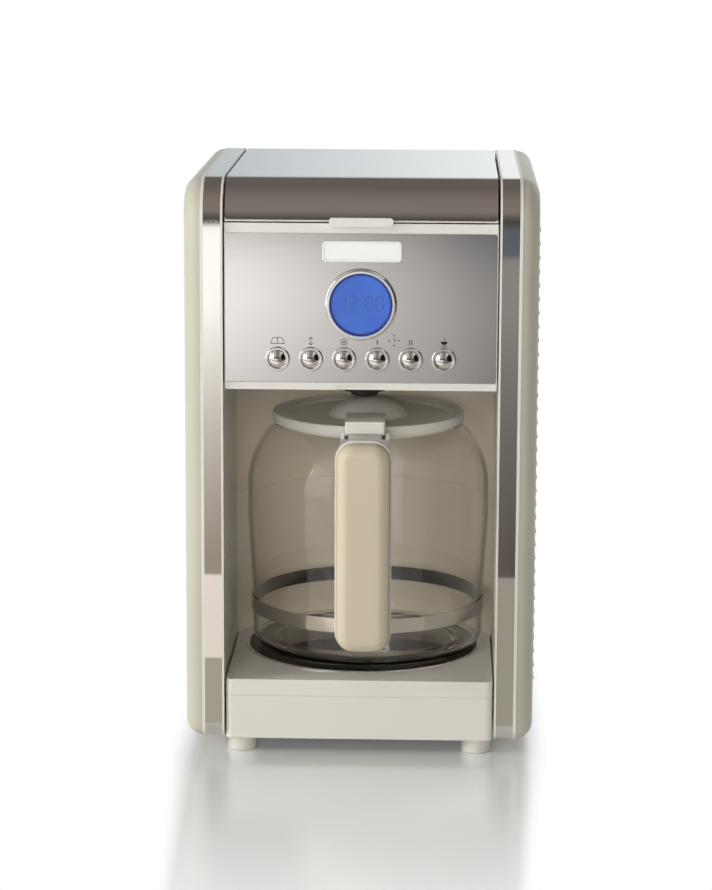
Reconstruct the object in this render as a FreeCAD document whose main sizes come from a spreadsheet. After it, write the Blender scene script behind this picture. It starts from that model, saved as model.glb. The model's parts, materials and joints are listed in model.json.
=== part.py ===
import FreeCAD, Part
import math
import os
import types

import Sketcher

# Drip coffee maker with a glass jug: x runs to the right, y to the rear, z up from the table.
# Pieces are drawn with y counted from the front plane of the steel side trims, and are then
# moved so that the origin lies under the middle of the whole object.

doc = FreeCAD.newDocument("drip_coffee_maker")

# Driving dimensions in millimetres, counts without a unit
sizes = {
    "body_height": 365.0,
    "body_depth": 240.0,
    "body_width": 222.0,
    "opening_width": 171.0,
    "corner_radius": 25.0,
    "wall": 2.5,
    "fit": 0.3,
    "frame_bottom": 9.0,
    "frame_foot_radius": 8.0,
    "frame_rim": 3.2,
    "inner_lip": 1.3,
    "outer_lip": 1.9,
    "trim_width": 10.8,
    "trim_thickness": 1.0,
    "panel_inset": 0.6,
    "panel_edge_radius": 10.6,
    "panel_step": 4.6,
    "side_gap": 0.9,
    "lid_gap": 1.5,
    "foot_height": 9.5,
    "foot_radius": 9.5,
    "foot_inset_x": 74.5,
    "foot_inset_front": 12.0,
    "foot_inset_rear": 24.0,
    "foot_stud_radius": 3.0,
    "base_front": 0.4,
    "base_corner": 4.0,
    "deck_seam": 37.6,
    "deck_top": 47.9,
    "seam_groove": 0.6,
    "screw_head_radius": 3.2,
    "screw_head_depth": 1.6,
    "screw_radius": 1.5,
    "screw_length": 14.0,
    "boss_radius": 4.0,
    "vent_length": 40.0,
    "vent_width": 3.0,
    "vent_pitch": 8.0,
    "rear_screw_inset": 12.0,
    "rear_screw_low": 14.0,
    "rear_screw_head_room": 30.0,
    "post_height": 4.0,
    "power_board_left": 24.0,
    "power_board_right": 72.0,
    "power_board_front_setback": 66.0,
    "power_board_rear_setback": 12.0,
    "power_post_inset": 6.0,
    "relay_length": 18.0,
    "relay_width": 16.0,
    "relay_height": 9.0,
    "capacitor_radius": 5.0,
    "capacitor_height": 8.0,
    "thermostat_radius": 8.0,
    "thermostat_height": 7.0,
    "thermostat_offset": 20.0,
    "jug_y": 94.8,
    "plate_radius": 75.4,
    "plate_top": 48.7,
    "plate_sheet": 1.5,
    "plate_seat": 44.5,
    "plate_ledge": 3.4,
    "ring_radius": 77.3,
    "ring_top": 49.0,
    "heater_radius": 48.0,
    "heater_width": 12.0,
    "heater_bottom": 29.5,
    "heater_arc": 290.0,
    "heater_tube_z": 35.0,
    "heater_tube_x": 27.5,
    "heater_tube_reach": 66.0,
    "clamp_length": 120.0,
    "clamp_width": 14.0,
    "hose_bore": 4.2,
    "hose_radius": 6.4,
    "hose_bend": 16.0,
    "hose_grip": 8.0,
    "spigot_bore": 2.6,
    "hose_hole_radius": 8.5,
    "bay_radius": 88.0,
    "bay_seam": 144.0,
    "bay_top_drop": 130.8,
    "housing_front": 3.0,
    "housing_top_drop": 27.0,
    "front_step": 1.8,
    "fascia_bottom_drop": 126.0,
    "fascia_top_drop": 33.3,
    "fascia_face": 2.0,
    "fascia_corner": 1.5,
    "lip_notch_width": 29.0,
    "lip_notch_height": 3.0,
    "display_z_drop": 77.3,
    "display_ring_radius": 22.35,
    "display_ring_proud": 2.7,
    "display_radius": 19.3,
    "display_hole_radius": 20.6,
    "lens_thickness": 1.6,
    "lcd_thickness": 4.2,
    "button_z_drop": 111.7,
    "button_pitch": 20.65,
    "button_count": 6,
    "button_radius": 5.3,
    "button_dome": 1.8,
    "button_travel": 1.2,
    "bezel_radius": 7.75,
    "bezel_proud": 1.3,
    "bezel_bore": 5.9,
    "bezel_tube": 6.9,
    "bezel_depth": 4.0,
    "board_y": 14.0,
    "board_thickness": 1.6,
    "board_width": 124.0,
    "board_bottom_drop": 122.0,
    "board_top_drop": 53.0,
    "switch_side": 6.2,
    "switch_depth": 3.2,
    "well_radius": 69.5,
    "top_deck_z_drop": 34.5,
    "basket_hole_radius": 67.5,
    "tank_left": 80.0,
    "tank_right": 60.0,
    "tank_front": 170.0,
    "tank_leg_front": 188.0,
    "tank_rear_setback": 7.0,
    "tank_bottom": 110.0,
    "tank_wall": 2.2,
    "tank_spigot_length": 12.0,
    "riser_x": 70.0,
    "riser_y": 184.0,
    "riser_foot": 62.0,
    "riser_radius": 6.0,
    "riser_top_drop": 28.0,
    "gland_x": 55.0,
    "gland_z": 26.0,
    "gland_bore": 3.6,
    "gland_radius": 6.5,
    "gland_flange": 9.0,
    "gland_collar": 5.0,
    "hinge_y_setback": 26.0,
    "hinge_barrel": 8.5,
    "hinge_pin_radius": 2.0,
    "hinge_running": 0.05,
    "lid_front": 0.4,
    "lid_sheet": 0.8,
    "lid_wall": 2.0,
    "lid_lip": 1.0,
    "lid_corner": 2.0,
    "lid_tab_width": 39.6,
    "lid_tab_bottom_drop": 28.8,
    "lid_tab_top_drop": 23.3,
    "lid_tab_proud": 2.0,
    "spray_radius": 36.0,
    "spray_bottom_drop": 22.0,
    "spray_hole_radius": 1.5,
    "duct_width": 16.0,
    "duct_bottom_drop": 15.0,
    "basket_flange_radius": 71.0,
    "basket_top_radius": 66.8,
    "basket_foot_radius": 56.0,
    "basket_shoulder_drop": 103.0,
    "basket_wall": 2.0,
    "outlet_radius": 15.0,
    "outlet_bottom_drop": 146.0,
    "outlet_top_drop": 124.0,
    "valve_chamber_radius": 12.0,
    "valve_hole_radius": 5.0,
    "valve_seat": 3.0,
    "valve_foot_radius": 9.0,
    "valve_foot_height": 3.0,
    "valve_stem_radius": 2.5,
    "valve_head_radius": 8.5,
    "valve_travel": 4.0,
    "valve_gap": 0.5,
    "spring_wire": 0.6,
    "spring_radius": 6.2,
    "spring_turns": 6,
    "filter_wall": 1.6,
    "filter_mesh": 0.5,
    "filter_bottom_drop": 98.0,
    "filter_rim_radius": 68.0,
    "filter_windows": 6,
    "filter_window_width": 40.0,
    "jug_base": 49.4,
    "jug_shift": 2.6,
    "jug_base_radius": 64.0,
    "jug_punt": 2.0,
    "jug_foot_radius": 12.0,
    "jug_low_radius": 76.0,
    "jug_belly_radius": 79.0,
    "jug_belly_drop": 230.0,
    "jug_shoulder_drop": 208.0,
    "jug_shoulder_radius": 54.0,
    "jug_neck_base_drop": 169.0,
    "jug_neck_radius": 60.0,
    "jug_mouth_drop": 162.0,
    "jug_wall": 2.4,
    "band_bottom": 74.0,
    "band_top": 83.2,
    "band_thickness": 0.8,
    "jug_lid_radius": 62.5,
    "jug_lid_rim_bottom_drop": 165.8,
    "jug_lid_rim_top_drop": 159.7,
    "jug_lid_dish_drop": 162.4,
    "jug_lid_wall": 2.0,
    "jug_dome_radius": 26.0,
    "jug_dome_top_drop": 150.0,
    "jug_lever_width": 25.0,
    "jug_lever_top_drop": 152.5,
    "jug_lever_front": 10.0,
    "jug_lever_rear": 46.0,
    "jug_pin_y": 18.0,
    "jug_pin_z_drop": 164.6,
    "jug_pin_radius": 1.5,
    "jug_knuckle_radius": 3.6,
    "handle_reach": 30.0,
    "handle_width": 33.4,
    "handle_grip_depth": 12.0,
    "handle_bottom": 73.2,
    "handle_top_drop": 160.2,
    "handle_corner": 11.0,
    "handle_edge": 7.5,
    "handle_frame_edge": 0.9,
    "handle_plate": 3.0,
    "handle_arm_width": 30.4,
    "handle_arm_top_drop": 169.6,
    "handle_cheek": 2.2,
    "saddle_height": 12.0,
    "saddle_thickness": 3.0,
    "saddle_arc": 26.0,
}

sheet = doc.addObject("Spreadsheet::Sheet", "Sizes")
for row, (alias, number) in enumerate(sizes.items(), start=1):
    sheet.set("A%d" % row, alias)
    sheet.set("B%d" % row, str(number))
    sheet.setAlias("B%d" % row, alias)
doc.recompute()


# A length that keeps both its value and the sheet expression it comes from.
class Size:
    def __init__(self, amount, text):
        self.amount = amount
        self.text = text

    def __add__(self, other):
        other = as_size(other)
        return Size(self.amount + other.amount, "(%s + %s)" % (self.text, other.text))

    def __sub__(self, other):
        other = as_size(other)
        return Size(self.amount - other.amount, "(%s - %s)" % (self.text, other.text))

    def __mul__(self, other):
        other = as_size(other)
        return Size(self.amount * other.amount, "(%s * %s)" % (self.text, other.text))

    def __truediv__(self, other):
        other = as_size(other)
        return Size(self.amount / other.amount, "(%s / %s)" % (self.text, other.text))

    def __neg__(self):
        return Size(-self.amount, "(0 - %s)" % self.text)

    def __radd__(self, other):
        return as_size(other) + self

    def __rsub__(self, other):
        return as_size(other) - self

    def __rmul__(self, other):
        return as_size(other) * self


def as_size(number):
    if isinstance(number, Size):
        return number
    return Size(float(number), repr(float(number)))


def root(size):
    return Size(math.sqrt(size.amount), "sqrt(%s)" % size.text)


def bind(feature, name, size):
    feature.setExpression(name, as_size(size).text)


# One full circle of a sketch.
class Ring:
    def __init__(self, across, up, radius):
        self.across = as_size(across)
        self.up = as_size(up)
        self.radius = as_size(radius)


s = types.SimpleNamespace(**{alias: Size(number, "Sizes." + alias) for alias, number in sizes.items()})
pieces = []

# Heights that keep their distance from the body's top, and depths that keep theirs from its rear
for alias in sizes:
    if alias.endswith("_drop"):
        setattr(s, alias[:-len("_drop")], s.body_height - getattr(s, alias))
    if alias.endswith("_setback"):
        setattr(s, alias[:-len("_setback")], s.body_depth - getattr(s, alias))
s.tank_spigot_y = (s.tank_leg_front + s.tank_rear) / 2

# Places that several pieces share
front = -(s.body_depth - s.handle_reach) / 2
jug_axis = front + s.jug_y
half_open = s.opening_width / 2
half_base = half_open - s.side_gap
half_lid = half_open - s.lid_gap
frame_out = half_open + s.inner_lip + s.trim_width + s.outer_lip
base_rear = s.body_depth - s.wall
plate_top_inside = s.foot_height + s.wall
hinge_z = s.body_height - s.hinge_barrel
lid_arc_z = s.body_height - s.corner_radius
top_deck_face = s.top_deck_z + s.wall
basket_seat = top_deck_face + s.fit
basket_rim = basket_seat + s.basket_wall
valve_foot = s.jug_dome_top + s.valve_gap
seat_top = s.outlet_top + s.basket_wall
seat_bottom = seat_top - s.valve_seat
sides = {"left": -1, "right": 1}


def add_piece(kind, label):
    piece = doc.addObject(kind, label)
    piece.Label = label
    pieces.append(piece)
    return piece


# A body whose own origin lies at the given place of the part's frame.
def add_body(label, x=0, y=front, z=0, turn=None):
    piece = add_piece("PartDesign::Body", label)
    if turn:
        piece.Placement = FreeCAD.Placement(FreeCAD.Vector(), FreeCAD.Rotation(*turn))
    place(piece, x, y, z)
    return piece


def place(piece, x, y, z):
    bind(piece, "Placement.Base.x", x)
    bind(piece, "Placement.Base.y", y)
    bind(piece, "Placement.Base.z", z)


def origin_feature(piece, role):
    return [item for item in piece.Origin.OriginFeatures if item.Role == role][0]


# Bulge of an arc through two points, with its centre on the left for a positive radius.
def arc_between(start, end, radius):
    along = end - start
    half = along.Length / 2
    rise = math.sqrt(max(radius * radius - half * half, 0.0))
    left = FreeCAD.Vector(-along.y, along.x, 0).normalize()
    centre = (start + end) / 2 + left * math.copysign(rise, radius)
    first = math.atan2(start.y - centre.y, start.x - centre.x)
    last = math.atan2(end.y - centre.y, end.x - centre.x)
    circle = Part.Circle(centre, FreeCAD.Vector(0, 0, 1), abs(radius))
    if radius > 0:
        return Part.ArcOfCircle(circle, first, last)
    return Part.ArcOfCircle(circle, last, first)


def fix_point(rules, bound, geometry, end, across, up):
    for kind, size, axis in (("DistanceX", across, -2), ("DistanceY", up, -1)):
        size = as_size(size)
        if size.text == "0.0":
            rules.append(Sketcher.Constraint("PointOnObject", geometry, end, axis))
            continue
        bound.append((len(rules), size))
        rules.append(Sketcher.Constraint(kind, -1, 1, geometry, end, size.amount))


# Closed outlines of lines and arcs. A corner (u, v) is reached by a line, and (u, v, r) by an arc
# of radius r that turns left, or right where r is negative. The first corner is reached last.
def add_sketch(piece, plane, loops, level=0):
    sketch = piece.newObject("Sketcher::SketchObject", piece.Label + "_sketch")
    sketch.AttachmentSupport = [(origin_feature(piece, plane), "")]
    sketch.MapMode = "FlatFace"
    outward = -1 if plane == "XZ_Plane" else 1
    bind(sketch, "AttachmentOffset.Base.z", outward * as_size(level))
    shapes, rules, bound = [], [], []
    for loop in loops:
        if isinstance(loop, Ring):
            centre = FreeCAD.Vector(loop.across.amount, loop.up.amount, 0)
            shapes.append(Part.Circle(centre, FreeCAD.Vector(0, 0, 1), loop.radius.amount))
            fix_point(rules, bound, len(shapes) - 1, 3, loop.across, loop.up)
            bound.append((len(rules), loop.radius))
            rules.append(Sketcher.Constraint("Radius", len(shapes) - 1, loop.radius.amount))
            continue
        add_loop(loop, shapes, rules, bound)
    sketch.addGeometry(shapes, False)
    sketch.addConstraint(rules)
    for index, size in bound:
        bind(sketch, "Constraints[%d]" % index, size)
    return sketch


def add_loop(loop, shapes, rules, bound):
    first = len(shapes)
    spots = [FreeCAD.Vector(as_size(corner[0]).amount, as_size(corner[1]).amount, 0) for corner in loop]
    ends = []
    for index, corner in enumerate(loop):
        following = (index + 1) % len(loop)
        target = loop[following]
        if len(target) == 2:
            shapes.append(Part.LineSegment(spots[index], spots[following]))
            ends.append((1, 2))
            continue
        radius = as_size(target[2])
        shapes.append(arc_between(spots[index], spots[following], radius.amount))
        ends.append((1, 2) if radius.amount > 0 else (2, 1))
        turned = radius if radius.amount > 0 else -radius
        bound.append((len(rules), turned))
        rules.append(Sketcher.Constraint("Radius", first + index, turned.amount))
    for index, corner in enumerate(loop):
        following = (index + 1) % len(loop)
        rules.append(Sketcher.Constraint("Coincident", first + index, ends[index][1],
                                         first + following, ends[following][0]))
        fix_point(rules, bound, first + index, ends[index][0], corner[0], corner[1])


def rectangle(left, low, right, high):
    return [(left, low), (right, low), (right, high), (left, high)]


def rounded(left, low, right, high, radius):
    return [
        (left + radius, low),
        (right - radius, low),
        (right, low + radius, radius),
        (right, high - radius),
        (right - radius, high, radius),
        (left + radius, high),
        (left, high - radius, radius),
        (left, low + radius),
        (left + radius, low, radius),
    ][1:]


def add_feature(piece, kind, name):
    return piece.newObject("PartDesign::" + kind, piece.Label + "_" + name)


# Adds material between two levels along the plane's axis: x, y or z.
def pad(piece, plane, loops, low, high):
    sketch = add_sketch(piece, plane, loops, low)
    feature = add_feature(piece, "Pad", "pad")
    feature.Profile = sketch
    feature.Reversed = plane == "XZ_Plane"
    bind(feature, "Length", as_size(high) - low)
    doc.recompute()
    return feature


# Takes material away between two levels along the plane's axis.
def pocket(piece, plane, loops, low, high):
    before = piece.Shape.Volume
    sketch = add_sketch(piece, plane, loops, low)
    feature = add_feature(piece, "Pocket", "pocket")
    feature.Profile = sketch
    feature.Reversed = plane != "XZ_Plane"
    bind(feature, "Length", as_size(high) - low)
    doc.recompute()
    if piece.Shape.Volume > before - 0.01:
        raise ValueError("a pocket of %s cuts nothing" % piece.Label)
    return feature


# Turns a profile of radius and height about the piece's own z axis.
def revolve(piece, loop, angle=None):
    sketch = add_sketch(piece, "XZ_Plane", [loop])
    feature = add_feature(piece, "Revolution", "turned")
    feature.Profile = sketch
    feature.ReferenceAxis = (sketch, ["V_Axis"])
    feature.Angle = 360
    if angle is not None:
        feature.Midplane = True
        bind(feature, "Angle", angle)
    doc.recompute()
    return feature


def groove(piece, loop):
    before = piece.Shape.Volume
    sketch = add_sketch(piece, "XZ_Plane", [loop])
    feature = add_feature(piece, "Groove", "groove")
    feature.Profile = sketch
    feature.ReferenceAxis = (sketch, ["V_Axis"])
    feature.Angle = 360
    doc.recompute()
    if piece.Shape.Volume > before - 0.01:
        raise ValueError("a groove of %s cuts nothing" % piece.Label)
    return feature


def dress(piece, kind, name, size, wanted):
    base = piece.Tip
    edges = ["Edge%d" % (index + 1) for index, edge in enumerate(base.Shape.Edges) if wanted(edge)]
    if not edges:
        raise ValueError("no edge of %s to dress" % piece.Label)
    feature = add_feature(piece, kind, name)
    feature.Base = (base, edges)
    bind(feature, name, size)
    doc.recompute()
    return feature


def fillet(piece, radius, wanted):
    return dress(piece, "Fillet", "Radius", radius, wanted)


def chamfer(piece, size, wanted):
    return dress(piece, "Chamfer", "Size", size, wanted)


def polar(piece, feature, count):
    pattern = add_feature(piece, "PolarPattern", "round")
    pattern.Originals = [feature]
    pattern.Axis = (origin_feature(piece, "Z_Axis"), [""])
    pattern.Angle = 360
    bind(pattern, "Occurrences", count)
    piece.Tip = pattern
    doc.recompute()


# Tests for picking edges by where they lie
def near(one, other):
    return abs(one - as_size(other).amount) < 0.02


def flat_in(edge, axis, level):
    low = getattr(edge.BoundBox, axis + "Min")
    high = getattr(edge.BoundBox, axis + "Max")
    return near(low, level) and near(high, level)


# A front edge of the base at a height.
def front_edge(edge, level):
    return flat_in(edge, "Z", level) and flat_in(edge, "Y", s.base_front)


# A span along x that is mirrored on the left side.
def side_span(sign, low, high):
    if sign > 0:
        return low, high
    return -high, -low


# Side view of the body, drawn in y and z, shrunk all round by an inset.
def side_outline(inset):
    low, high = s.frame_bottom + inset, s.body_height - inset
    near_y, far_y = as_size(inset), s.body_depth - inset
    top, foot = s.corner_radius - inset, s.frame_foot_radius
    return [
        (near_y + foot, low),
        (far_y - foot, low),
        (far_y, low + foot, foot),
        (far_y, high - top),
        (far_y - top, high, top),
        (near_y + top, high),
        (near_y, high - top, top),
        (near_y, low + foot),
        (near_y + foot, low, foot),
    ][1:]


# The band that runs from under the front foot over the top to under the rear foot, between two insets.
def trim_outline(outer, inner):
    low, high = s.frame_bottom, s.body_height
    far = s.body_depth
    bend, foot = s.corner_radius, s.frame_foot_radius
    return [
        (foot, low + inner),
        (inner, low + foot, inner - foot),
        (inner, high - bend),
        (bend, high - inner, inner - bend),
        (far - bend, high - inner),
        (far - inner, high - bend, inner - bend),
        (far - inner, low + foot),
        (far - foot, low + inner, inner - foot),
        (far - foot, low + outer),
        (far - outer, low + foot, foot - outer),
        (far - outer, high - bend),
        (far - bend, high - outer, bend - outer),
        (bend, high - outer),
        (outer, high - bend, bend - outer),
        (outer, low + foot),
        (foot, low + outer, foot - outer),
    ]


def make_side(side, sign):
    frame = add_body("side_frame_" + side)
    pad(frame, "YZ_Plane", [side_outline(0)], *side_span(sign, half_open, frame_out))
    pocket(frame, "YZ_Plane", [side_outline(s.frame_rim)], *side_span(sign, half_open + s.wall, frame_out))
    trim_low = half_open + s.inner_lip
    trim_span = side_span(sign, trim_low, trim_low + s.trim_width)
    pocket(frame, "YZ_Plane", [trim_outline(-s.trim_thickness, s.trim_thickness)], *trim_span)
    pin_hole = Ring(s.hinge_y, hinge_z, s.hinge_pin_radius)
    pocket(frame, "YZ_Plane", [pin_hole], *side_span(sign, half_open, half_open + s.wall))

    trim = add_body("trim_strip_" + side)
    pad(trim, "YZ_Plane", [trim_outline(as_size(0), s.trim_thickness)], *trim_span)

    panel = add_body("side_panel_" + side)
    half_body = s.body_width / 2
    pad(panel, "YZ_Plane", [side_outline(s.panel_inset)], *side_span(sign, frame_out, half_body))
    fillet(panel, s.panel_edge_radius, lambda edge: flat_in(edge, "X", sign * half_body))
    inset = s.panel_inset + s.wall
    step = half_body - s.wall - s.panel_step
    pocket(panel, "YZ_Plane", [side_outline(inset)], *side_span(sign, frame_out, step))
    deep_span = side_span(sign, step, half_body - s.wall)
    pocket(panel, "YZ_Plane", [side_outline(inset + s.panel_step)], *deep_span)


def rear_screw_spots():
    across = half_base - s.rear_screw_inset
    heights = (s.deck_seam - s.rear_screw_low, s.housing_top - s.rear_screw_head_room)
    return [(sign * across, up) for up in heights for sign in sides.values()]


def base_screw_spots():
    across = half_base - s.wall - s.boss_radius + s.side_gap / 2
    depths = (s.body_depth / 4, s.body_depth * 0.7)
    return [(sign * across, depth) for depth in depths for sign in sides.values()]


def foot_spots():
    depths = {"front": s.foot_inset_front, "rear": s.body_depth - s.foot_inset_rear}
    return {"%s_%s" % (end, side): (sign * s.foot_inset_x, depth)
            for end, depth in depths.items() for side, sign in sides.items()}


def make_base():
    inner_x = half_base - s.wall
    inner_front = s.base_front + s.wall
    inner_rear = base_rear - s.wall

    for name, (x, y) in foot_spots().items():
        foot = add_body("foot_" + name, x, front + y)
        stud = s.foot_stud_radius
        revolve(foot, [(0, 0), (s.foot_radius - 1, 0), (s.foot_radius, 1, as_size(1)),
                       (s.foot_radius, s.foot_height), (stud, s.foot_height),
                       (stud, plate_top_inside), (0, plate_top_inside)])

    plate = add_body("bottom_plate")
    inside = rectangle(-inner_x, inner_front, inner_x, inner_rear)
    pad(plate, "XY_Plane", [inside], s.foot_height, plate_top_inside)
    vents = []
    reach = s.vent_length / 2
    for index in range(8):
        low = s.jug_y - s.vent_pitch * 4 + index * s.vent_pitch
        vents.append(rectangle(-reach, low, reach, low + s.vent_width))
    studs = [Ring(x, y, s.foot_stud_radius) for x, y in foot_spots().values()]
    shanks = [Ring(x, y, s.screw_radius) for x, y in base_screw_spots()]
    heads = [Ring(x, y, s.screw_head_radius) for x, y in base_screw_spots()]
    pocket(plate, "XY_Plane", vents + studs + shanks, s.foot_height, plate_top_inside)
    pocket(plate, "XY_Plane", heads, s.foot_height, s.foot_height + s.screw_head_depth)
    inset = s.power_post_inset
    across = (s.power_board_left + inset, s.power_board_right - inset)
    along = (s.power_board_front + inset, s.power_board_rear - inset)
    posts = [Ring(x, y, s.foot_stud_radius) for x in across for y in along]
    pad(plate, "XY_Plane", posts, plate_top_inside, plate_top_inside + s.post_height)

    screws = add_body("base_screws")
    head_top = s.foot_height + s.screw_head_depth
    pad(screws, "XY_Plane", heads, s.foot_height, head_top)
    pad(screws, "XY_Plane", shanks, head_top, head_top + s.screw_length)

    tub = add_body("base_tub")
    outline = rounded(-half_base, s.base_front, half_base, base_rear, s.base_corner)
    pad(tub, "XY_Plane", [outline], s.foot_height, s.deck_seam)
    pocket(tub, "XY_Plane", [inside], s.foot_height, s.deck_seam)
    bosses = [Ring(x, y, s.boss_radius) for x, y in base_screw_spots()]
    pad(tub, "XY_Plane", bosses, plate_top_inside, s.deck_seam - s.wall)
    pocket(tub, "XY_Plane", shanks, plate_top_inside, head_top + s.screw_length)
    boss_height = (s.foot_height + s.deck_seam) / 2
    spots = [Ring(y, boss_height, s.boss_radius) for y in (s.body_depth / 6, s.body_depth * 5 / 6)]
    for sign in sides.values():
        pad(tub, "YZ_Plane", spots, *side_span(sign, half_base, half_open))
    chamfer(tub, s.seam_groove, lambda edge: front_edge(edge, s.deck_seam))
    rear_holes = [Ring(x, z, s.screw_radius) for x, z in rear_screw_spots()[:2]]
    rear_holes.append(Ring(s.gland_x, s.gland_z, s.gland_radius))
    pocket(tub, "XZ_Plane", rear_holes, base_rear - s.wall, base_rear)

    deck = add_body("base_deck")
    under = s.deck_top - s.wall
    pad(deck, "XY_Plane", [outline], s.deck_seam, s.deck_top)
    pocket(deck, "XY_Plane", [inside], s.deck_seam, under)
    ledge_inner = Ring(0, s.jug_y, s.plate_radius - s.plate_ledge)
    ledge_outer = Ring(0, s.jug_y, s.plate_radius + s.wall)
    pad(deck, "XY_Plane", [ledge_outer, ledge_inner], s.plate_seat - s.wall, under)
    pocket(deck, "XY_Plane", [Ring(0, s.jug_y, s.plate_radius)], s.plate_seat, s.deck_top)
    holes = [Ring(-s.heater_tube_x, s.tank_spigot_y, s.hose_hole_radius),
             Ring(s.riser_x, s.riser_y, s.hose_hole_radius)]
    pocket(deck, "XY_Plane", holes, under, s.deck_top)
    fillet(deck, s.seam_groove, lambda edge: front_edge(edge, s.deck_top))


def make_heating():
    under = s.plate_top - s.plate_sheet
    plate = add_body("hot_plate", y=jug_axis)
    rim = s.plate_radius - s.plate_sheet
    revolve(plate, [(0, under), (rim, under), (rim, s.plate_seat), (s.plate_radius, s.plate_seat),
                    (s.plate_radius, s.plate_top - 1), (s.plate_radius - 1, s.plate_top, as_size(1)),
                    (0, s.plate_top)])
    ring = add_body("plate_ring", y=jug_axis)
    revolve(ring, [(s.plate_radius + 0.1, s.deck_top), (s.ring_radius, s.deck_top),
                   (s.ring_radius, s.ring_top - 0.5), (s.ring_radius - 0.5, s.ring_top),
                   (s.plate_radius + 0.1, s.ring_top)])

    heater = add_body("heater_element", y=jug_axis, turn=(FreeCAD.Vector(0, 0, 1), -90))
    half = s.heater_width / 2
    low, high = s.heater_radius - half, s.heater_radius + half
    revolve(heater, rounded(low, s.heater_bottom, high, under, half / 2), s.heater_arc)
    tubes = [Ring(sign * s.heater_tube_x, s.heater_tube_z, s.hose_bore) for sign in sides.values()]
    pad(heater, "YZ_Plane", tubes, -s.heater_tube_reach, -(s.heater_radius - s.heater_width))
    bores = [Ring(sign * s.heater_tube_x, s.heater_tube_z, s.spigot_bore) for sign in sides.values()]
    pocket(heater, "YZ_Plane", bores, -s.heater_tube_reach, -(s.heater_radius - half))

    clamp = add_body("heater_clamp", y=jug_axis)
    long, wide = s.clamp_length / 2, s.clamp_width / 2
    strip = rounded(-long, -wide, long, wide, wide / 2)
    pad(clamp, "XY_Plane", [strip], s.heater_bottom - s.wall, s.heater_bottom)
    pad(clamp, "XY_Plane", [Ring(0, 0, s.foot_stud_radius)], s.heater_bottom, under)

    thermostat = add_piece("Part::Cylinder", "thermostat")
    bind(thermostat, "Radius", s.thermostat_radius)
    bind(thermostat, "Height", s.thermostat_height)
    place(thermostat, 0, jug_axis - s.thermostat_offset, under - s.thermostat_height)

    power = add_body("power_board")
    board = plate_top_inside + s.post_height
    left, right = s.power_board_left, s.power_board_right
    near_y, far_y = s.power_board_front, s.power_board_rear
    pad(power, "XY_Plane", [rectangle(left, near_y, right, far_y)], board, board + s.board_thickness)
    top = board + s.board_thickness
    inset = s.power_post_inset
    relay_x, relay_y = left + inset, near_y + inset
    relay = rectangle(relay_x, relay_y, relay_x + s.relay_length, relay_y + s.relay_width)
    pad(power, "XY_Plane", [relay], top, top + s.relay_height)
    capacitor = Ring(right - 2 * inset, far_y - s.relay_width, s.capacitor_radius)
    pad(power, "XY_Plane", [capacitor], top, top + s.capacitor_height)


# Round tube along straight runs joined by bends of one radius.
def make_hose(label, corners):
    bend = s.hose_bend.amount
    spots = [FreeCAD.Vector(*[as_size(size).amount for size in corner]) for corner in corners]
    edges = []
    start = spots[0]
    for before, corner, after in zip(spots, spots[1:], spots[2:]):
        back = (before - corner).normalize()
        ahead = (after - corner).normalize()
        first, last = corner + back * bend, corner + ahead * bend
        middle = corner + (back + ahead) * bend - (back + ahead).normalize() * bend
        edges += [Part.LineSegment(start, first).toShape(), Part.Arc(first, middle, last).toShape()]
        start = last
    edges.append(Part.LineSegment(start, spots[-1]).toShape())
    path = Part.Wire(edges)
    along = (spots[1] - spots[0]).normalize()
    tubes = []
    for radius in (s.hose_radius.amount, s.hose_bore.amount):
        section = Part.Wire(Part.makeCircle(radius, spots[0], along))
        tubes.append(path.makePipeShell([section], True, False))
    hose = add_piece("Part::Feature", label)
    hose.Shape = tubes[0].cut(tubes[1])
    place(hose, 0, front, 0)


def make_water():
    tank = add_body("water_tank")
    floor = s.bay_top + s.wall
    wall = s.tank_wall
    left, right, rear = -s.tank_left, s.tank_right, s.tank_rear
    pad(tank, "XY_Plane", [rectangle(left, s.tank_front, right, rear)], floor, s.top_deck_z)
    pad(tank, "XY_Plane", [rectangle(left, s.tank_leg_front, right, rear)], s.tank_bottom, floor)
    upper = rectangle(left + wall, s.tank_front + wall, right - wall, rear - wall)
    lower = rectangle(left + wall, s.tank_leg_front + wall, right - wall, rear - wall)
    pocket(tank, "XY_Plane", [upper], floor + wall, s.top_deck_z)
    pocket(tank, "XY_Plane", [lower], s.tank_bottom + wall, floor + wall)
    spigot_low = s.tank_bottom - s.tank_spigot_length
    spot = (-s.heater_tube_x, s.tank_spigot_y)
    pad(tank, "XY_Plane", [Ring(*spot, s.hose_bore)], spigot_low, s.tank_bottom)
    pocket(tank, "XY_Plane", [Ring(*spot, s.spigot_bore)], spigot_low, s.tank_bottom + wall)

    heater_end = s.jug_y + s.heater_tube_reach - s.hose_grip
    low = s.heater_tube_z
    make_hose("inlet_hose", [
        (-s.heater_tube_x, heater_end, low),
        (-s.heater_tube_x, s.tank_spigot_y, low),
        (-s.heater_tube_x, s.tank_spigot_y, spigot_low + s.hose_grip),
    ])
    make_hose("outlet_hose", [
        (s.heater_tube_x, heater_end, low),
        (s.heater_tube_x, s.riser_y, low),
        (s.riser_x, s.riser_y, low),
        (s.riser_x, s.riser_y, s.riser_foot + s.hose_grip),
    ])

    riser = add_body("riser_tube", s.riser_x, front + s.riser_y)
    collar = top_deck_face + 1
    spigot_top = s.riser_foot + s.tank_spigot_length
    revolve(riser, [(s.spigot_bore, s.riser_foot), (s.hose_bore, s.riser_foot), (s.hose_bore, spigot_top),
                    (s.riser_radius, spigot_top), (s.riser_radius, top_deck_face),
                    (s.riser_radius + 3, top_deck_face), (s.riser_radius + 3, collar),
                    (s.riser_radius, collar), (s.riser_radius, s.riser_top), (s.spigot_bore, s.riser_top)])


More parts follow.
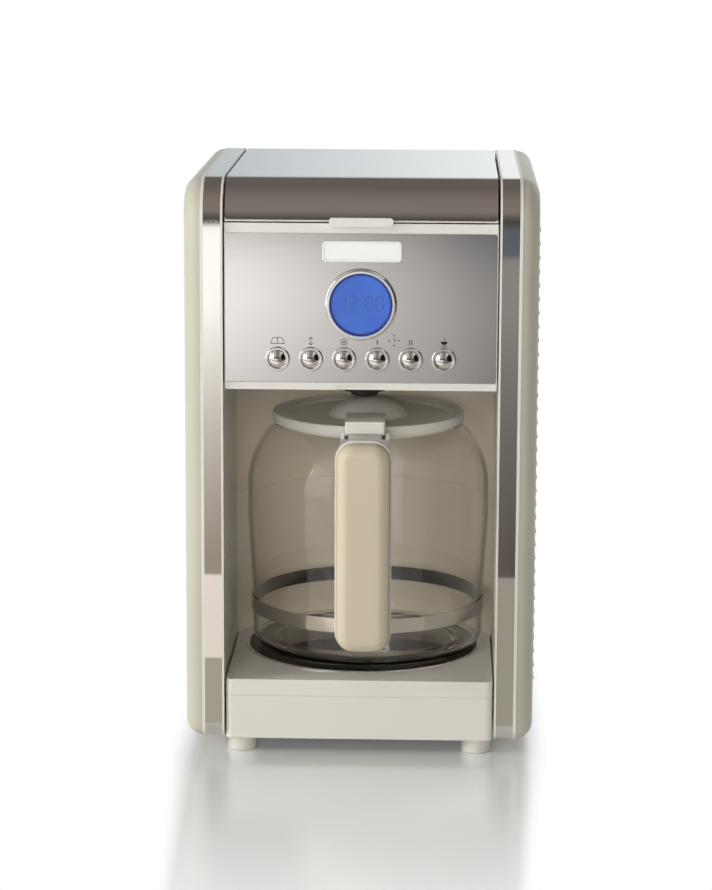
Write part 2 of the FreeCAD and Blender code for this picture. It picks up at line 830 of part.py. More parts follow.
def make_column():
    inner, outer = s.bay_radius, s.bay_radius + s.wall
    inner_y = s.jug_y + root(inner * inner - half_open * half_open)
    outer_y = s.jug_y + root(outer * outer - half_open * half_open)
    outline = [(half_open, inner_y, -inner), (half_open, outer_y), (-half_open, outer_y, outer),
               (-half_open, inner_y)]
    lower = add_body("column_lower")
    pad(lower, "XY_Plane", [outline], s.deck_top, s.bay_seam)
    upper = add_body("column_upper")
    pad(upper, "XY_Plane", [outline], s.bay_seam, s.bay_top)
    seam = 2 * inner.amount * math.asin(half_open.amount / inner.amount)
    for half in (lower, upper):
        chamfer(half, s.seam_groove, lambda edge: flat_in(edge, "Z", s.bay_seam) and near(edge.Length, seam))


def button_spots():
    middle = (s.button_count - 1) / 2
    return [(index - middle) * s.button_pitch for index in range(int(s.button_count.amount))]


def board_posts():
    across = s.board_width / 2 - 6
    return [(sign * across, up) for sign in sides.values() for up in (s.board_bottom + 22, s.board_top - 5)]


def make_housing():
    inner_x = half_base - s.wall
    floor = s.bay_top + s.wall
    inside_front = s.housing_front + s.wall
    inside_rear = base_rear - s.wall
    housing = add_body("upper_housing")
    outside = rectangle(-half_base, s.housing_front, half_base, base_rear)
    inside = rectangle(-inner_x, inside_front, inner_x, inside_rear)
    pad(housing, "XY_Plane", [outside], s.bay_top, s.housing_top)
    pocket(housing, "XY_Plane", [inside], floor, s.housing_top)
    well = [Ring(0, s.jug_y, s.well_radius + s.wall), Ring(0, s.jug_y, s.well_radius)]
    pad(housing, "XY_Plane", well, floor, s.top_deck_z)
    bars = [rectangle(-half_lid, s.bay_top, half_lid, s.fascia_bottom - s.fit),
            rectangle(-half_lid, s.fascia_top + s.fit, half_lid, s.housing_top)]
    pad(housing, "XZ_Plane", bars, s.front_step, s.housing_front)
    notch = s.lip_notch_width / 2
    pocket(housing, "XZ_Plane", [rectangle(-notch, s.bay_top, notch, s.bay_top + s.lip_notch_height)],
           s.front_step, s.housing_front)
    leg_left, leg_right = -s.tank_left - s.fit, s.tank_right + s.fit
    leg = rectangle(leg_left, s.tank_leg_front - s.fit, leg_right, s.tank_rear + s.fit)
    holes = [leg, Ring(0, s.jug_y, s.outlet_radius + 2 * s.fit)]
    holes.append(Ring(s.riser_x, s.riser_y, s.riser_radius + s.fit))
    pocket(housing, "XY_Plane", holes, s.bay_top, floor)
    windows = [Ring(0, s.display_z, s.display_hole_radius)]
    windows += [Ring(x, s.button_z, s.bezel_tube) for x in button_spots()]
    pocket(housing, "XZ_Plane", windows, s.housing_front, inside_front)
    rear_holes = [Ring(x, z, s.screw_radius) for x, z in rear_screw_spots()[2:]]
    pocket(housing, "XZ_Plane", rear_holes, inside_rear, base_rear)
    posts = [Ring(x, z, s.foot_stud_radius) for x, z in board_posts()]
    pad(housing, "XZ_Plane", posts, inside_front, s.board_y)
    spots = [Ring(y, s.display_z, s.boss_radius) for y in (s.body_depth / 4, s.body_depth * 5 / 6)]
    for sign in sides.values():
        pad(housing, "YZ_Plane", spots, *side_span(sign, half_base, half_open))

    deck = add_body("top_deck")
    pad(deck, "XY_Plane", [inside], s.top_deck_z, top_deck_face)
    wall = s.tank_wall
    mouth_low, mouth_high = s.tank_front + wall, s.tank_rear - wall
    mouth = rounded(wall - s.tank_left, mouth_low, s.tank_right - wall, mouth_high, s.base_corner)
    openings = [mouth, Ring(0, s.jug_y, s.basket_hole_radius), Ring(s.riser_x, s.riser_y, s.riser_radius)]
    pocket(deck, "XY_Plane", openings, s.top_deck_z, top_deck_face)


def make_rear():
    cover = add_body("rear_cover")
    arc_y = s.body_depth - s.corner_radius
    inner_arc = s.corner_radius - s.wall
    edge_y = s.hinge_y + s.hinge_barrel + s.side_gap
    flange_y = edge_y + s.wall
    edge_z = lid_arc_z + root(s.corner_radius * s.corner_radius - (edge_y - arc_y) * (edge_y - arc_y))
    flange_z = lid_arc_z + root(inner_arc * inner_arc - (flange_y - arc_y) * (flange_y - arc_y))
    hem = hinge_z - s.hinge_barrel
    pad(cover, "YZ_Plane", [[
        (base_rear, s.foot_height), (s.body_depth, s.foot_height), (s.body_depth, lid_arc_z),
        (edge_y, edge_z, s.corner_radius), (edge_y, hem), (flange_y, hem), (flange_y, flange_z),
        (base_rear, lid_arc_z, -inner_arc),
    ]], -half_base, half_base)
    slots = []
    for index in range(7):
        low = s.bay_seam + index * s.vent_pitch
        slots.append(rectangle(-s.vent_length / 2, low, s.vent_length / 2, low + s.vent_width))
    shanks = [Ring(x, z, s.screw_radius) for x, z in rear_screw_spots()]
    heads = [Ring(x, z, s.screw_head_radius) for x, z in rear_screw_spots()]
    gland_hole = Ring(s.gland_x, s.gland_z, s.gland_radius)
    pocket(cover, "XZ_Plane", slots + shanks + [gland_hole], base_rear, s.body_depth)
    head_low = s.body_depth - s.screw_head_depth
    pocket(cover, "XZ_Plane", heads, head_low, s.body_depth)

    screws = add_body("rear_screws")
    pad(screws, "XZ_Plane", heads, head_low, s.body_depth)
    pad(screws, "XZ_Plane", shanks, base_rear - s.wall - 2, head_low)

    gland = add_body("cord_gland")
    bore = Ring(s.gland_x, s.gland_z, s.gland_bore)
    collar = Ring(s.gland_x, s.gland_z, s.gland_flange)
    wall_face = base_rear - s.wall
    pad(gland, "XZ_Plane", [gland_hole, bore], wall_face, s.body_depth)
    pad(gland, "XZ_Plane", [collar, bore], wall_face - s.gland_collar, wall_face)


def make_front():
    fascia = add_body("fascia")
    pad(fascia, "XZ_Plane", [rounded(-half_lid, s.fascia_bottom, half_lid, s.fascia_top, s.fascia_corner)],
        s.fascia_face, s.housing_front)
    windows = [Ring(0, s.display_z, s.display_hole_radius)]
    windows += [Ring(x, s.button_z, s.bezel_tube) for x in button_spots()]
    pocket(fascia, "XZ_Plane", windows, s.fascia_face, s.housing_front)

    face = {"y": front + s.fascia_face, "turn": (FreeCAD.Vector(1, 0, 0), 90)}
    ring = add_body("display_bezel", z=s.display_z, **face)
    outer, proud = s.display_ring_radius, s.display_ring_proud
    bend = proud / 2
    revolve(ring, [(s.display_radius, -s.lcd_thickness), (s.display_hole_radius, -s.lcd_thickness),
                   (s.display_hole_radius, 0), (outer, 0), (outer, proud - bend),
                   (outer - bend, proud, bend), (s.display_radius + 0.4, proud),
                   (s.display_radius, proud - 1)])
    lens = add_body("display_lens", z=s.display_z, **face)
    pad(lens, "XY_Plane", [Ring(0, 0, s.display_radius)], 0, s.lens_thickness)
    panel = add_body("lcd_module", z=s.display_z, **face)
    pad(panel, "XY_Plane", [Ring(0, 0, s.display_radius)], -s.lcd_thickness, 0)
    pad(panel, "XY_Plane", [rectangle(-8, -14, 8, -8)], -(s.board_y - s.fascia_face), -s.lcd_thickness)

    board = add_body("control_board")
    half = s.board_width / 2
    pad(board, "XZ_Plane", [rectangle(-half, s.board_bottom, half, s.board_top)], s.board_y,
        s.board_y + s.board_thickness)

    switches = add_body("tact_switches")
    reach = s.switch_side / 2
    cans = [rectangle(x - reach, s.button_z - reach, x + reach, s.button_z + reach) for x in button_spots()]
    pad(switches, "XZ_Plane", cans, s.board_y - s.switch_depth, s.board_y)
    nubs = [Ring(x, s.button_z, reach / 2) for x in button_spots()]
    pad(switches, "XZ_Plane", nubs, s.board_y - s.switch_depth - 0.6, s.board_y - s.switch_depth)

    first = button_spots()[0]
    bezels = add_body("button_bezels", x=first, z=s.button_z, **face)
    tube, flange = s.bezel_tube, s.bezel_radius
    turned = revolve(bezels, [(s.bezel_bore, -s.bezel_depth), (tube, -s.bezel_depth), (tube, 0), (flange, 0),
                              (flange, s.bezel_proud - 0.8), (flange - 0.8, s.bezel_proud, as_size(0.8)),
                              (s.bezel_bore + 0.3, s.bezel_proud), (s.bezel_bore, s.bezel_proud - 0.3)])
    row = add_feature(bezels, "LinearPattern", "row")
    row.Originals = [turned]
    row.Direction = (origin_feature(bezels, "X_Axis"), [""])
    bind(row, "Length", (s.button_count - 1) * s.button_pitch)
    bind(row, "Occurrences", s.button_count)
    bezels.Tip = row
    doc.recompute()

    names = ("program", "select", "auto", "hour", "minute", "brew")
    dome = s.button_radius
    crown = (dome * dome + s.button_dome * s.button_dome) / (2 * s.button_dome)
    collar = -s.bezel_depth - s.fit
    tip = -(s.board_y - s.fascia_face - s.switch_depth - 0.6 - s.button_travel - 0.2)
    for name, x in zip(names, button_spots()):
        button = add_body("button_" + name, x=x, z=s.button_z, **face)
        revolve(button, [(0, tip), (3, tip), (3, collar - 1), (s.bezel_tube - s.fit, collar - 1),
                         (s.bezel_tube - s.fit, collar), (dome, collar), (dome, 0.6),
                         (0, 0.6 + s.button_dome, crown)])


def make_lid():
    bend, sheet, barrel = s.corner_radius, s.lid_sheet, s.hinge_barrel
    nose = s.lid_front + bend
    top = s.body_height
    skin = add_body("lid_skin")
    pad(skin, "YZ_Plane", [[
        (s.lid_front, lid_arc_z), (nose, top, -bend), (s.hinge_y, top),
        (s.hinge_y + barrel, hinge_z, -barrel), (s.hinge_y + barrel - sheet, hinge_z),
        (s.hinge_y, top - sheet, barrel - sheet), (nose, top - sheet),
        (s.lid_front + sheet, lid_arc_z, bend - sheet),
    ]], -half_lid, half_lid)
    fillet(skin, s.lid_corner, lambda edge: flat_in(edge, "Z", lid_arc_z) and near(edge.Length, sheet))

    liner = add_body("lid_liner")
    face = s.lid_front + sheet
    low = lid_arc_z - s.lid_lip
    core = barrel - sheet
    heel = s.hinge_y - 2 * core
    pad(liner, "YZ_Plane", [[
        (face, low), (face, lid_arc_z), (nose, top - sheet, sheet - bend), (s.hinge_y, top - sheet),
        (s.hinge_y + core, hinge_z, -core), (s.hinge_y, hinge_z - core, -core), (heel, low),
    ]], -half_lid, half_lid)
    wall = s.lid_wall
    inner = bend - sheet - wall
    pocket(liner, "YZ_Plane", [[
        (face + wall, low), (face + wall, lid_arc_z), (nose, lid_arc_z + inner, -inner),
        (heel, lid_arc_z + inner), (heel, low),
    ]], -(half_lid - wall), half_lid - wall)
    bore = Ring(s.hinge_y, hinge_z, s.hinge_pin_radius + s.hinge_running)
    pocket(liner, "YZ_Plane", [bore], -half_lid, half_lid)
    tab = s.lid_tab_width / 2
    tab_front = s.lid_front - s.lid_tab_proud
    root_reach = tab - s.lid_corner
    pad(liner, "XZ_Plane", [rounded(-tab, s.lid_tab_bottom, tab, s.lid_tab_top, s.lid_corner)],
        tab_front, s.lid_front)
    pad(liner, "XZ_Plane", [rectangle(-root_reach, low, root_reach, lid_arc_z)], s.lid_front, face)

    pin = add_piece("Part::Cylinder", "lid_hinge_pin")
    pin.Placement = FreeCAD.Placement(FreeCAD.Vector(), FreeCAD.Rotation(FreeCAD.Vector(0, 1, 0), 90))
    reach = half_open + s.wall
    bind(pin, "Radius", s.hinge_pin_radius)
    bind(pin, "Height", 2 * reach)
    place(pin, -reach, front + s.hinge_y, hinge_z)

    spray = add_body("spray_head", y=jug_axis)
    ceiling = top - sheet - wall
    radius = s.spray_radius
    revolve(spray, [(0, s.spray_bottom), (radius - 4, s.spray_bottom),
                    (radius, s.spray_bottom + 4, as_size(4)), (radius, ceiling),
                    (radius - wall, ceiling), (radius - wall, s.spray_bottom + 4),
                    (radius - 4, s.spray_bottom + wall, wall - 4), (0, s.spray_bottom + wall)])
    near_y, far_y = radius * 0.8, s.riser_y - s.jug_y - s.riser_radius - 2
    near_x, far_x = radius * 0.4, s.riser_x
    half = s.duct_width / 2
    slim = half - wall
    pad(spray, "XY_Plane", [[(near_x - half, near_y), (near_x + half, near_y), (far_x + half, far_y),
                             (far_x - half, far_y)]], s.duct_bottom, ceiling)
    inlet = (s.riser_x, s.riser_y - s.jug_y)
    cup = s.riser_radius + 3
    pad(spray, "XY_Plane", [Ring(*inlet, cup)], s.riser_top + 1.5, ceiling)
    pocket(spray, "XY_Plane", [[(near_x - slim, near_y - 6), (near_x + slim, near_y - 6),
                                (far_x + slim, far_y + 4), (far_x - slim, far_y + 4)]],
           s.duct_bottom + wall, ceiling)
    pocket(spray, "XY_Plane", [Ring(*inlet, cup - wall)], s.riser_top + 1.5, ceiling - wall)
    for share, count in ((0.28, 5), (0.6, 10)):
        hole = pocket(spray, "XY_Plane", [Ring(radius * share, 0, s.spray_hole_radius)], s.spray_bottom,
                      s.spray_bottom + wall)
        polar(spray, hole, count)


def make_basket():
    basket = add_body("brew_basket", y=jug_axis)
    wall = s.basket_wall
    shoulder = s.basket_shoulder
    revolve(basket, [
        (s.valve_chamber_radius, s.outlet_bottom), (s.outlet_radius, s.outlet_bottom),
        (s.outlet_radius, s.outlet_top), (s.basket_foot_radius, shoulder),
        (s.basket_top_radius, basket_seat), (s.basket_flange_radius, basket_seat),
        (s.basket_flange_radius, basket_rim), (s.basket_top_radius - wall, basket_rim),
        (s.basket_foot_radius - wall, shoulder + wall), (s.outlet_radius - wall, seat_top),
        (s.valve_hole_radius, seat_top), (s.valve_hole_radius, seat_bottom),
        (s.valve_chamber_radius, seat_bottom),
    ])

    frame = add_body("filter_frame", y=jug_axis)
    slope = (s.basket_top_radius - s.basket_foot_radius) / (basket_seat - shoulder)
    low = s.filter_bottom
    outer_low = s.basket_foot_radius - wall - s.fit + slope * (low - shoulder - wall)
    outer_top = s.basket_top_radius - wall - s.fit
    thick = s.filter_wall
    revolve(frame, [
        (0, low), (outer_low, low), (outer_top, basket_rim), (s.filter_rim_radius, basket_rim),
        (s.filter_rim_radius, basket_rim + thick), (outer_top - thick, basket_rim + thick),
        (outer_top - thick, basket_rim), (outer_low - thick, low + thick), (0, low + thick),
    ])
    half = s.filter_window_width / 2
    window = pocket(frame, "XZ_Plane", [rounded(-half, low + 8, half, basket_rim - 8, s.base_corner)], 0,
                    s.basket_top_radius)
    polar(frame, window, s.filter_windows)

    mesh = add_body("filter_mesh", y=jug_axis)
    thin = s.filter_mesh
    mesh_low = outer_low - thick
    mesh_top = outer_top - thick
    revolve(mesh, [(mesh_low, low + thick), (mesh_top, basket_rim), (mesh_top - thin, basket_rim),
                   (mesh_low - thin, low + thick)])

    stem = add_body("valve_stem", y=jug_axis)
    foot_top = valve_foot + s.valve_foot_height
    head = seat_top + s.valve_travel + s.fit
    revolve(stem, [(0, valve_foot), (s.valve_foot_radius - 1, valve_foot),
                   (s.valve_foot_radius, valve_foot + 1, as_size(1)), (s.valve_foot_radius, foot_top),
                   (s.valve_stem_radius, foot_top), (s.valve_stem_radius, head), (s.valve_head_radius, head),
                   (s.valve_head_radius, head + 1.5), (s.valve_stem_radius, head + 3), (0, head + 3)])
    make_spring(foot_top, seat_bottom)


# Coil that pushes the drip valve down, one unbroken wire of half-turn arcs.
def make_spring(low, high):
    wire = s.spring_wire.amount
    turns = int(s.spring_turns.amount)
    radius = s.spring_radius.amount
    start, rise = low.amount + wire, high.amount - low.amount - 2 * wire
    quarters = turns * 4

    def spot(quarter):
        angle = quarter * math.pi / 2
        height = start + rise * quarter / quarters
        return FreeCAD.Vector(radius * math.cos(angle), radius * math.sin(angle), height)

    arcs = [Part.Arc(spot(index), spot(index + 0.5), spot(index + 1)).toShape() for index in range(quarters)]
    path = Part.Wire(arcs)
    along = arcs[0].tangentAt(arcs[0].FirstParameter)
    section = Part.Wire(Part.makeCircle(wire, spot(0), along))
    spring = add_piece("Part::Feature", "valve_spring")
    spring.Shape = path.makePipeShell([section], True, False)
    print("gap between the spring's turns: %.2f mm" % (rise / turns - 2 * wire))
    place(spring, 0, jug_axis, 0)


# Outside of the glass from its mouth down to the base, as corners of a profile.
def glass_outside():
    return [
        (s.jug_base_radius, s.jug_base),
        (s.jug_low_radius, s.jug_base + s.jug_foot_radius, s.jug_foot_radius),
        (s.jug_low_radius, s.band_top + 2),
        (s.jug_belly_radius, s.jug_belly),
        (s.jug_belly_radius, s.jug_shoulder),
        (shoulder_radius_at(s.jug_neck_base, as_size(0)), s.jug_neck_base, s.jug_shoulder_radius),
        (s.jug_neck_radius, s.jug_neck_base + 2.5),
        (s.jug_neck_radius, s.jug_mouth),
    ]


# Radius of the glass shoulder at a height, inside the outer face by a wall.
def shoulder_radius_at(height, wall):
    arc = s.jug_shoulder_radius - wall
    drop = height - s.jug_shoulder
    return s.jug_belly_radius - s.jug_shoulder_radius + root(arc * arc - drop * drop)


def make_jug():
    glass = add_body("jug_glass", s.jug_shift, jug_axis)
    wall = s.jug_wall
    inner_foot = s.jug_foot_radius - wall
    punt_top = s.jug_base + s.jug_punt
    punt = [(0, punt_top), (s.jug_base_radius - 8, punt_top), (s.jug_base_radius - 4, s.jug_base)]
    revolve(glass, punt + glass_outside() + [
        (s.jug_neck_radius - wall, s.jug_mouth),
        (s.jug_neck_radius - wall, s.jug_neck_base + 2.5),
        (shoulder_radius_at(s.jug_neck_base, wall), s.jug_neck_base),
        (s.jug_belly_radius - wall, s.jug_shoulder, wall - s.jug_shoulder_radius),
        (s.jug_belly_radius - wall, s.jug_belly),
        (s.jug_low_radius - wall, s.band_top + 2),
        (s.jug_low_radius - wall, s.jug_base + s.jug_foot_radius),
        (s.jug_base_radius, s.jug_base + wall, -inner_foot),
        (s.jug_base_radius - 6, s.jug_base + wall + 1.5),
        (0, s.jug_base + wall + 1.5),
    ])

    band = add_body("jug_band", s.jug_shift, jug_axis)
    inner = s.jug_low_radius
    revolve(band, rectangle(inner, s.band_bottom, inner + s.band_thickness, s.band_top))
    make_jug_lid()
    make_handle()


def make_jug_lid():
    lid = add_body("jug_lid", s.jug_shift, jug_axis)
    wall = s.jug_lid_wall
    rim, top, dish = s.jug_lid_radius, s.jug_lid_rim_top, s.jug_lid_dish
    plug = s.jug_neck_radius - s.jug_wall - s.fit
    seat = s.jug_mouth + s.fit
    dome, rise = s.jug_dome_radius, s.jug_dome_top - dish
    crown = (dome * dome + rise * rise) / (2 * rise)
    under_dome, under_rise = dome - wall, rise
    under_crown = (under_dome * under_dome + under_rise * under_rise) / (2 * under_rise)
    revolve(lid, [
        (0, s.jug_dome_top - wall), (under_dome, dish - wall, -under_crown), (plug - wall, dish - wall),
        (plug - wall, s.jug_neck_base), (plug, s.jug_neck_base), (plug, seat),
        (s.jug_neck_radius + s.fit, seat), (s.jug_neck_radius + s.fit, s.jug_lid_rim_bottom),
        (rim, s.jug_lid_rim_bottom), (rim, top - 0.8), (rim - 0.8, top, as_size(0.8)), (rim - 4.5, top),
        (rim - 5.5, top - 1), (rim - 9, top - 1), (rim - 10.5, dish), (dome, dish),
        (0, s.jug_dome_top, crown),
    ])
    half = s.jug_lever_width / 2
    front_y, rear_y = s.jug_lever_front - s.jug_y, s.jug_lever_rear - s.jug_y
    rim_y = -(rim - 9)
    lever_low = top - 1
    lever_top = s.jug_lever_top
    pad(lid, "YZ_Plane", [[(front_y, lever_low), (rim_y, lever_low), (rim_y + 1, dish), (rear_y, dish),
                           (rear_y, lever_top - 2), (rear_y - 2, lever_top), (front_y, lever_top)]],
        -half, half)
    fillet(lid, as_size(1.2), lambda edge: flat_in(edge, "Y", front_y))
    pin_y = s.jug_pin_y - s.jug_y
    knuckle = s.jug_knuckle_radius
    grip = half - s.handle_cheek
    pad(lid, "YZ_Plane", [[(pin_y - knuckle, lever_low), (pin_y - knuckle, s.jug_pin_z),
                           (pin_y, s.jug_pin_z - knuckle, knuckle), (pin_y + knuckle, s.jug_pin_z, knuckle),
                           (pin_y + knuckle, lever_low)]], -grip, grip)
    pocket(lid, "YZ_Plane", [Ring(pin_y, s.jug_pin_z, s.jug_pin_radius)], -grip, grip)

    pin = add_piece("Part::Cylinder", "jug_lid_pin")
    pin.Placement = FreeCAD.Placement(FreeCAD.Vector(), FreeCAD.Rotation(FreeCAD.Vector(0, 1, 0), 90))
    reach = s.handle_arm_width / 2
    bind(pin, "Radius", s.jug_pin_radius)
    bind(pin, "Height", 2 * reach)
    place(pin, s.jug_shift - reach, front + s.jug_pin_y, s.jug_pin_z)


def make_handle():
    frame = add_body("handle_frame", s.jug_shift, jug_axis)
    grip_front = -s.handle_reach - s.jug_y
    plate_front = grip_front + s.handle_grip_depth
    plate_rear = plate_front + s.handle_plate
    edge = s.handle_frame_edge
    half = s.handle_width / 2
    low, high = s.handle_bottom, s.handle_top
    plate = rounded(-half - edge, low - edge, half + edge, high + edge, s.handle_corner + edge)
    pad(frame, "XZ_Plane", [plate], plate_front, plate_rear)

    arm = s.handle_arm_width / 2
    pin_y = s.jug_pin_y - s.jug_y
    ear = s.jug_knuckle_radius + 1
    clear = pin_y - ear - 1
    shelf = s.handle_arm_top
    shoulder_y = -s.jug_neck_radius
    pad(frame, "YZ_Plane", [[
        (plate_rear, shelf - 26), (shoulder_y, shelf - 14), (shoulder_y, shelf), (clear, shelf),
        (clear - 4, high - 3), (plate_rear, high - 3),
    ]], -arm, arm)
    foot_y = -s.jug_base_radius
    pad(frame, "YZ_Plane", [[
        (plate_rear, low + 4), (foot_y, s.band_bottom), (foot_y, s.band_top + 4), (plate_rear, low + 26),
    ]], -arm + 3, arm - 3)
    cheek = [(pin_y - ear, shelf), (pin_y + ear, shelf), (pin_y + ear, s.jug_pin_z),
             (pin_y, s.jug_pin_z + ear, ear), (pin_y - ear, s.jug_pin_z, ear)]
    for sign in sides.values():
        pad(frame, "YZ_Plane", [cheek], *side_span(sign, arm - s.handle_cheek, arm))
    sketch = add_sketch(frame, "YZ_Plane", [[
        (-s.jug_neck_radius, shelf), (-s.jug_neck_radius - s.saddle_thickness - 3, shelf),
        (-s.jug_belly_radius + 1, shelf - s.saddle_height), (-s.jug_neck_radius, shelf - s.saddle_height),
    ]])
    saddle = add_feature(frame, "Revolution", "saddle")
    saddle.Profile = sketch
    saddle.ReferenceAxis = (sketch, ["V_Axis"])
    saddle.Midplane = True
    bind(saddle, "Angle", s.saddle_arc)
    doc.recompute()
    band = s.jug_low_radius + s.band_thickness
    glass = glass_outside()
    groove(frame, [(0, s.jug_base), glass[0], glass[1], (s.jug_low_radius, s.band_bottom),
                   (band, s.band_bottom), (band, s.band_top), (s.jug_low_radius, s.band_top)]
           + glass[2:] + [(0, s.jug_mouth)])
    pocket(frame, "YZ_Plane", [Ring(pin_y, s.jug_pin_z, s.jug_pin_radius)], -arm, arm)

    grip = add_body("handle_grip", s.jug_shift, jug_axis)
    pad(grip, "XZ_Plane", [rounded(-half, low, half, high, s.handle_corner)], grip_front, plate_front)
    fillet(grip, s.handle_edge, lambda edge: flat_in(edge, "Y", grip_front))


make_base()
make_heating()
make_column()
make_housing()
make_rear()
for side, sign in sides.items():
    make_side(side, sign)
make_front()
make_water()
make_lid()
make_basket()
make_jug()
doc.recompute()

for item in doc.Objects:
    if "Invalid" in item.State or "Error" in item.State:
        raise RuntimeError("%s did not build" % item.Label)
for piece in pieces:
    if piece.Shape.isNull() or not piece.Shape.isValid():
        raise RuntimeError("%s has no valid shape" % piece.Label)

os.makedirs("parts", exist_ok=True)
for piece in pieces:
    piece.Shape.exportStep("parts/%s.step" % piece.Label)
print("%d pieces" % len(pieces))
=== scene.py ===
import json
import math

import bmesh
import bpy
from mathutils import Matrix, Vector
from mathutils.bvhtree import BVHTree


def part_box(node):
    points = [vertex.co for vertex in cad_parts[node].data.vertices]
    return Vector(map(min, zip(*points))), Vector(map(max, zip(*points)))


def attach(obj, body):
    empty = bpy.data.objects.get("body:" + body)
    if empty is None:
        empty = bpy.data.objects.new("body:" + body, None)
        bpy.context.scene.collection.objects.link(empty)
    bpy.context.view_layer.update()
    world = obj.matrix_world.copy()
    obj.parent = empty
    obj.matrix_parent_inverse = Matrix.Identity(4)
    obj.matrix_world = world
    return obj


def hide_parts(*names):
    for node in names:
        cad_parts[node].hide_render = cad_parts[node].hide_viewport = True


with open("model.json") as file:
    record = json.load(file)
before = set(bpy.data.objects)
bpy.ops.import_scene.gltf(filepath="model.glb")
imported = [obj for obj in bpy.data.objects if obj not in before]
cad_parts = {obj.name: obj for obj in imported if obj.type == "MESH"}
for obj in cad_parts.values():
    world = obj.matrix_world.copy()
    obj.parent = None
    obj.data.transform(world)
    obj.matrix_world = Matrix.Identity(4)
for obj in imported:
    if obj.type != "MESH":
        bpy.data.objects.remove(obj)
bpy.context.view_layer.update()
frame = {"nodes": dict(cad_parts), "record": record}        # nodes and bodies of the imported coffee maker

nodes = frame["nodes"]
scene = bpy.context.scene
lensLow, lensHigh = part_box("display_lens")
displayZ = (lensLow[2] + lensHigh[2]) / 2
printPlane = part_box("fascia")[0][1]        # y of the fascia's front, for badge, marks and digits
white = (1.0, 1.0, 1.0, 1.0)
print("frame loaded:", len(nodes), "nodes")


def paint(red, green, blue):
    # screen colour 0-255 to the linear colour a socket wants
    parts = [value / 255.0 for value in (red, green, blue)]
    return tuple(p / 12.92 if p <= 0.04045 else ((p + 0.055) / 1.055) ** 2.4 for p in parts) + (1.0,)


def opaque(colour):
    return colour + (1.0,)


# short forms for the nodes that most trees use
def feed(tree, value, socket):
    # an output is linked to the socket, anything else is written on it
    if isinstance(value, bpy.types.NodeSocket):
        tree.links.new(value, socket)
    else:
        socket.default_value = value


def fill(tree, node, inputs):
    for name, value in inputs.items():
        feed(tree, value, node.inputs[name])


def put(tree, kind, inputs=None, **settings):
    node = tree.nodes.new(kind)
    for name, value in settings.items():
        setattr(node, name, value)
    fill(tree, node, inputs or {})
    return node


def combine(tree, operation, *values):
    return put(tree, "ShaderNodeMath", dict(enumerate(values)), operation=operation).outputs["Value"]


def ramp(tree, value, span, ends=(0.0, 1.0), smooth=False):
    # the span, first to last, becomes the two ends
    node = put(tree, "ShaderNodeMapRange", {"Value": value, "From Min": span[0], "From Max": span[1],
                                           "To Min": ends[0], "To Max": ends[1]},
               interpolation_type="SMOOTHSTEP" if smooth else "LINEAR")
    return node.outputs["Result"]


def blendColours(tree, amount, first, second):
    # a Mix node has its colours on sockets 6 and 7 and gives the blend on output 2
    return put(tree, "ShaderNodeMix", {0: amount, 6: first, 7: second}, data_type="RGBA").outputs[2]


def blendShaders(tree, amount, first, second):
    return put(tree, "ShaderNodeMixShader", {0: amount, 1: first, 2: second}).outputs[0]


def distanceFrom(tree, place, centre, axes):
    # distance from a point, along the axes that are 1
    shift = tuple(-value for value in centre)
    centred = put(tree, "ShaderNodeMapping", {"Vector": place, "Location": shift})
    flat = put(tree, "ShaderNodeVectorMath", {0: centred.outputs["Vector"], 1: axes}, operation="MULTIPLY")
    return put(tree, "ShaderNodeVectorMath", {0: flat.outputs[0]}, operation="LENGTH").outputs["Value"]


# effects that several finishes share
def startGroup(name, inputs, outputs):
    group = bpy.data.node_groups.new(name, "ShaderNodeTree")
    kinds = {"vector": "NodeSocketVector", "value": "NodeSocketFloat", "colour": "NodeSocketColor"}
    for label, kind in inputs:
        group.interface.new_socket(label, in_out="INPUT", socket_type=kinds[kind])
    for label, kind in outputs:
        group.interface.new_socket(label, in_out="OUTPUT", socket_type=kinds[kind])
    return group, group.nodes.new("NodeGroupInput").outputs, group.nodes.new("NodeGroupOutput")


# fine grain with shallow pores, and a roughness that changes slowly
grainLook = {"detail": 3.0, "rough": 0.55, "poreShare": 0.35, "broadScale": 18.0, "span": (0.3, 0.7)}


def makeMouldGrain(look):
    group, start, end = startGroup("mouldGrain", [
        ("Vector", "vector"), ("Fineness", "value"), ("Rough Low", "value"), ("Rough High", "value"),
    ], [("Height", "value"), ("Roughness", "value")])
    place, scale = start["Vector"], start["Fineness"]
    fine = put(group, "ShaderNodeTexNoise", {"Vector": place, "Scale": scale, "Detail": look["detail"],
                                            "Roughness": look["rough"]})
    pores = put(group, "ShaderNodeTexVoronoi", {"Vector": place, "Scale": scale}, feature="F1")
    broad = put(group, "ShaderNodeTexNoise", {"Vector": place, "Scale": look["broadScale"], "Detail": 0.0})
    height = combine(group, "MULTIPLY_ADD", pores.outputs["Distance"], look["poreShare"],
                     fine.outputs["Fac"])
    rough = ramp(group, broad.outputs["Fac"], look["span"], (start["Rough Low"], start["Rough High"]))
    fill(group, end, {"Height": height, "Roughness": rough})
    return group


# colour that wanders a little between a tone and a shade
driftLook = {"detail": 1.0, "rough": 0.4, "span": (0.25, 0.75)}


def makeToneDrift(look):
    group, start, end = startGroup("toneDrift", [
        ("Vector", "vector"), ("Tone", "colour"), ("Shade", "colour"), ("Scale", "value"),
    ], [("Colour", "colour")])
    drift = put(group, "ShaderNodeTexNoise", {"Vector": start["Vector"], "Scale": start["Scale"],
                                             "Detail": look["detail"], "Roughness": look["rough"]})
    spread = ramp(group, drift.outputs["Fac"], look["span"])
    fill(group, end, {"Colour": blendColours(group, spread, start["Tone"], start["Shade"])})
    return group


# streaks of brushed metal, on coordinates that the finish has stretched
brushLook = {"detail": 5.0, "rough": 0.65, "span": (0.3, 0.7)}


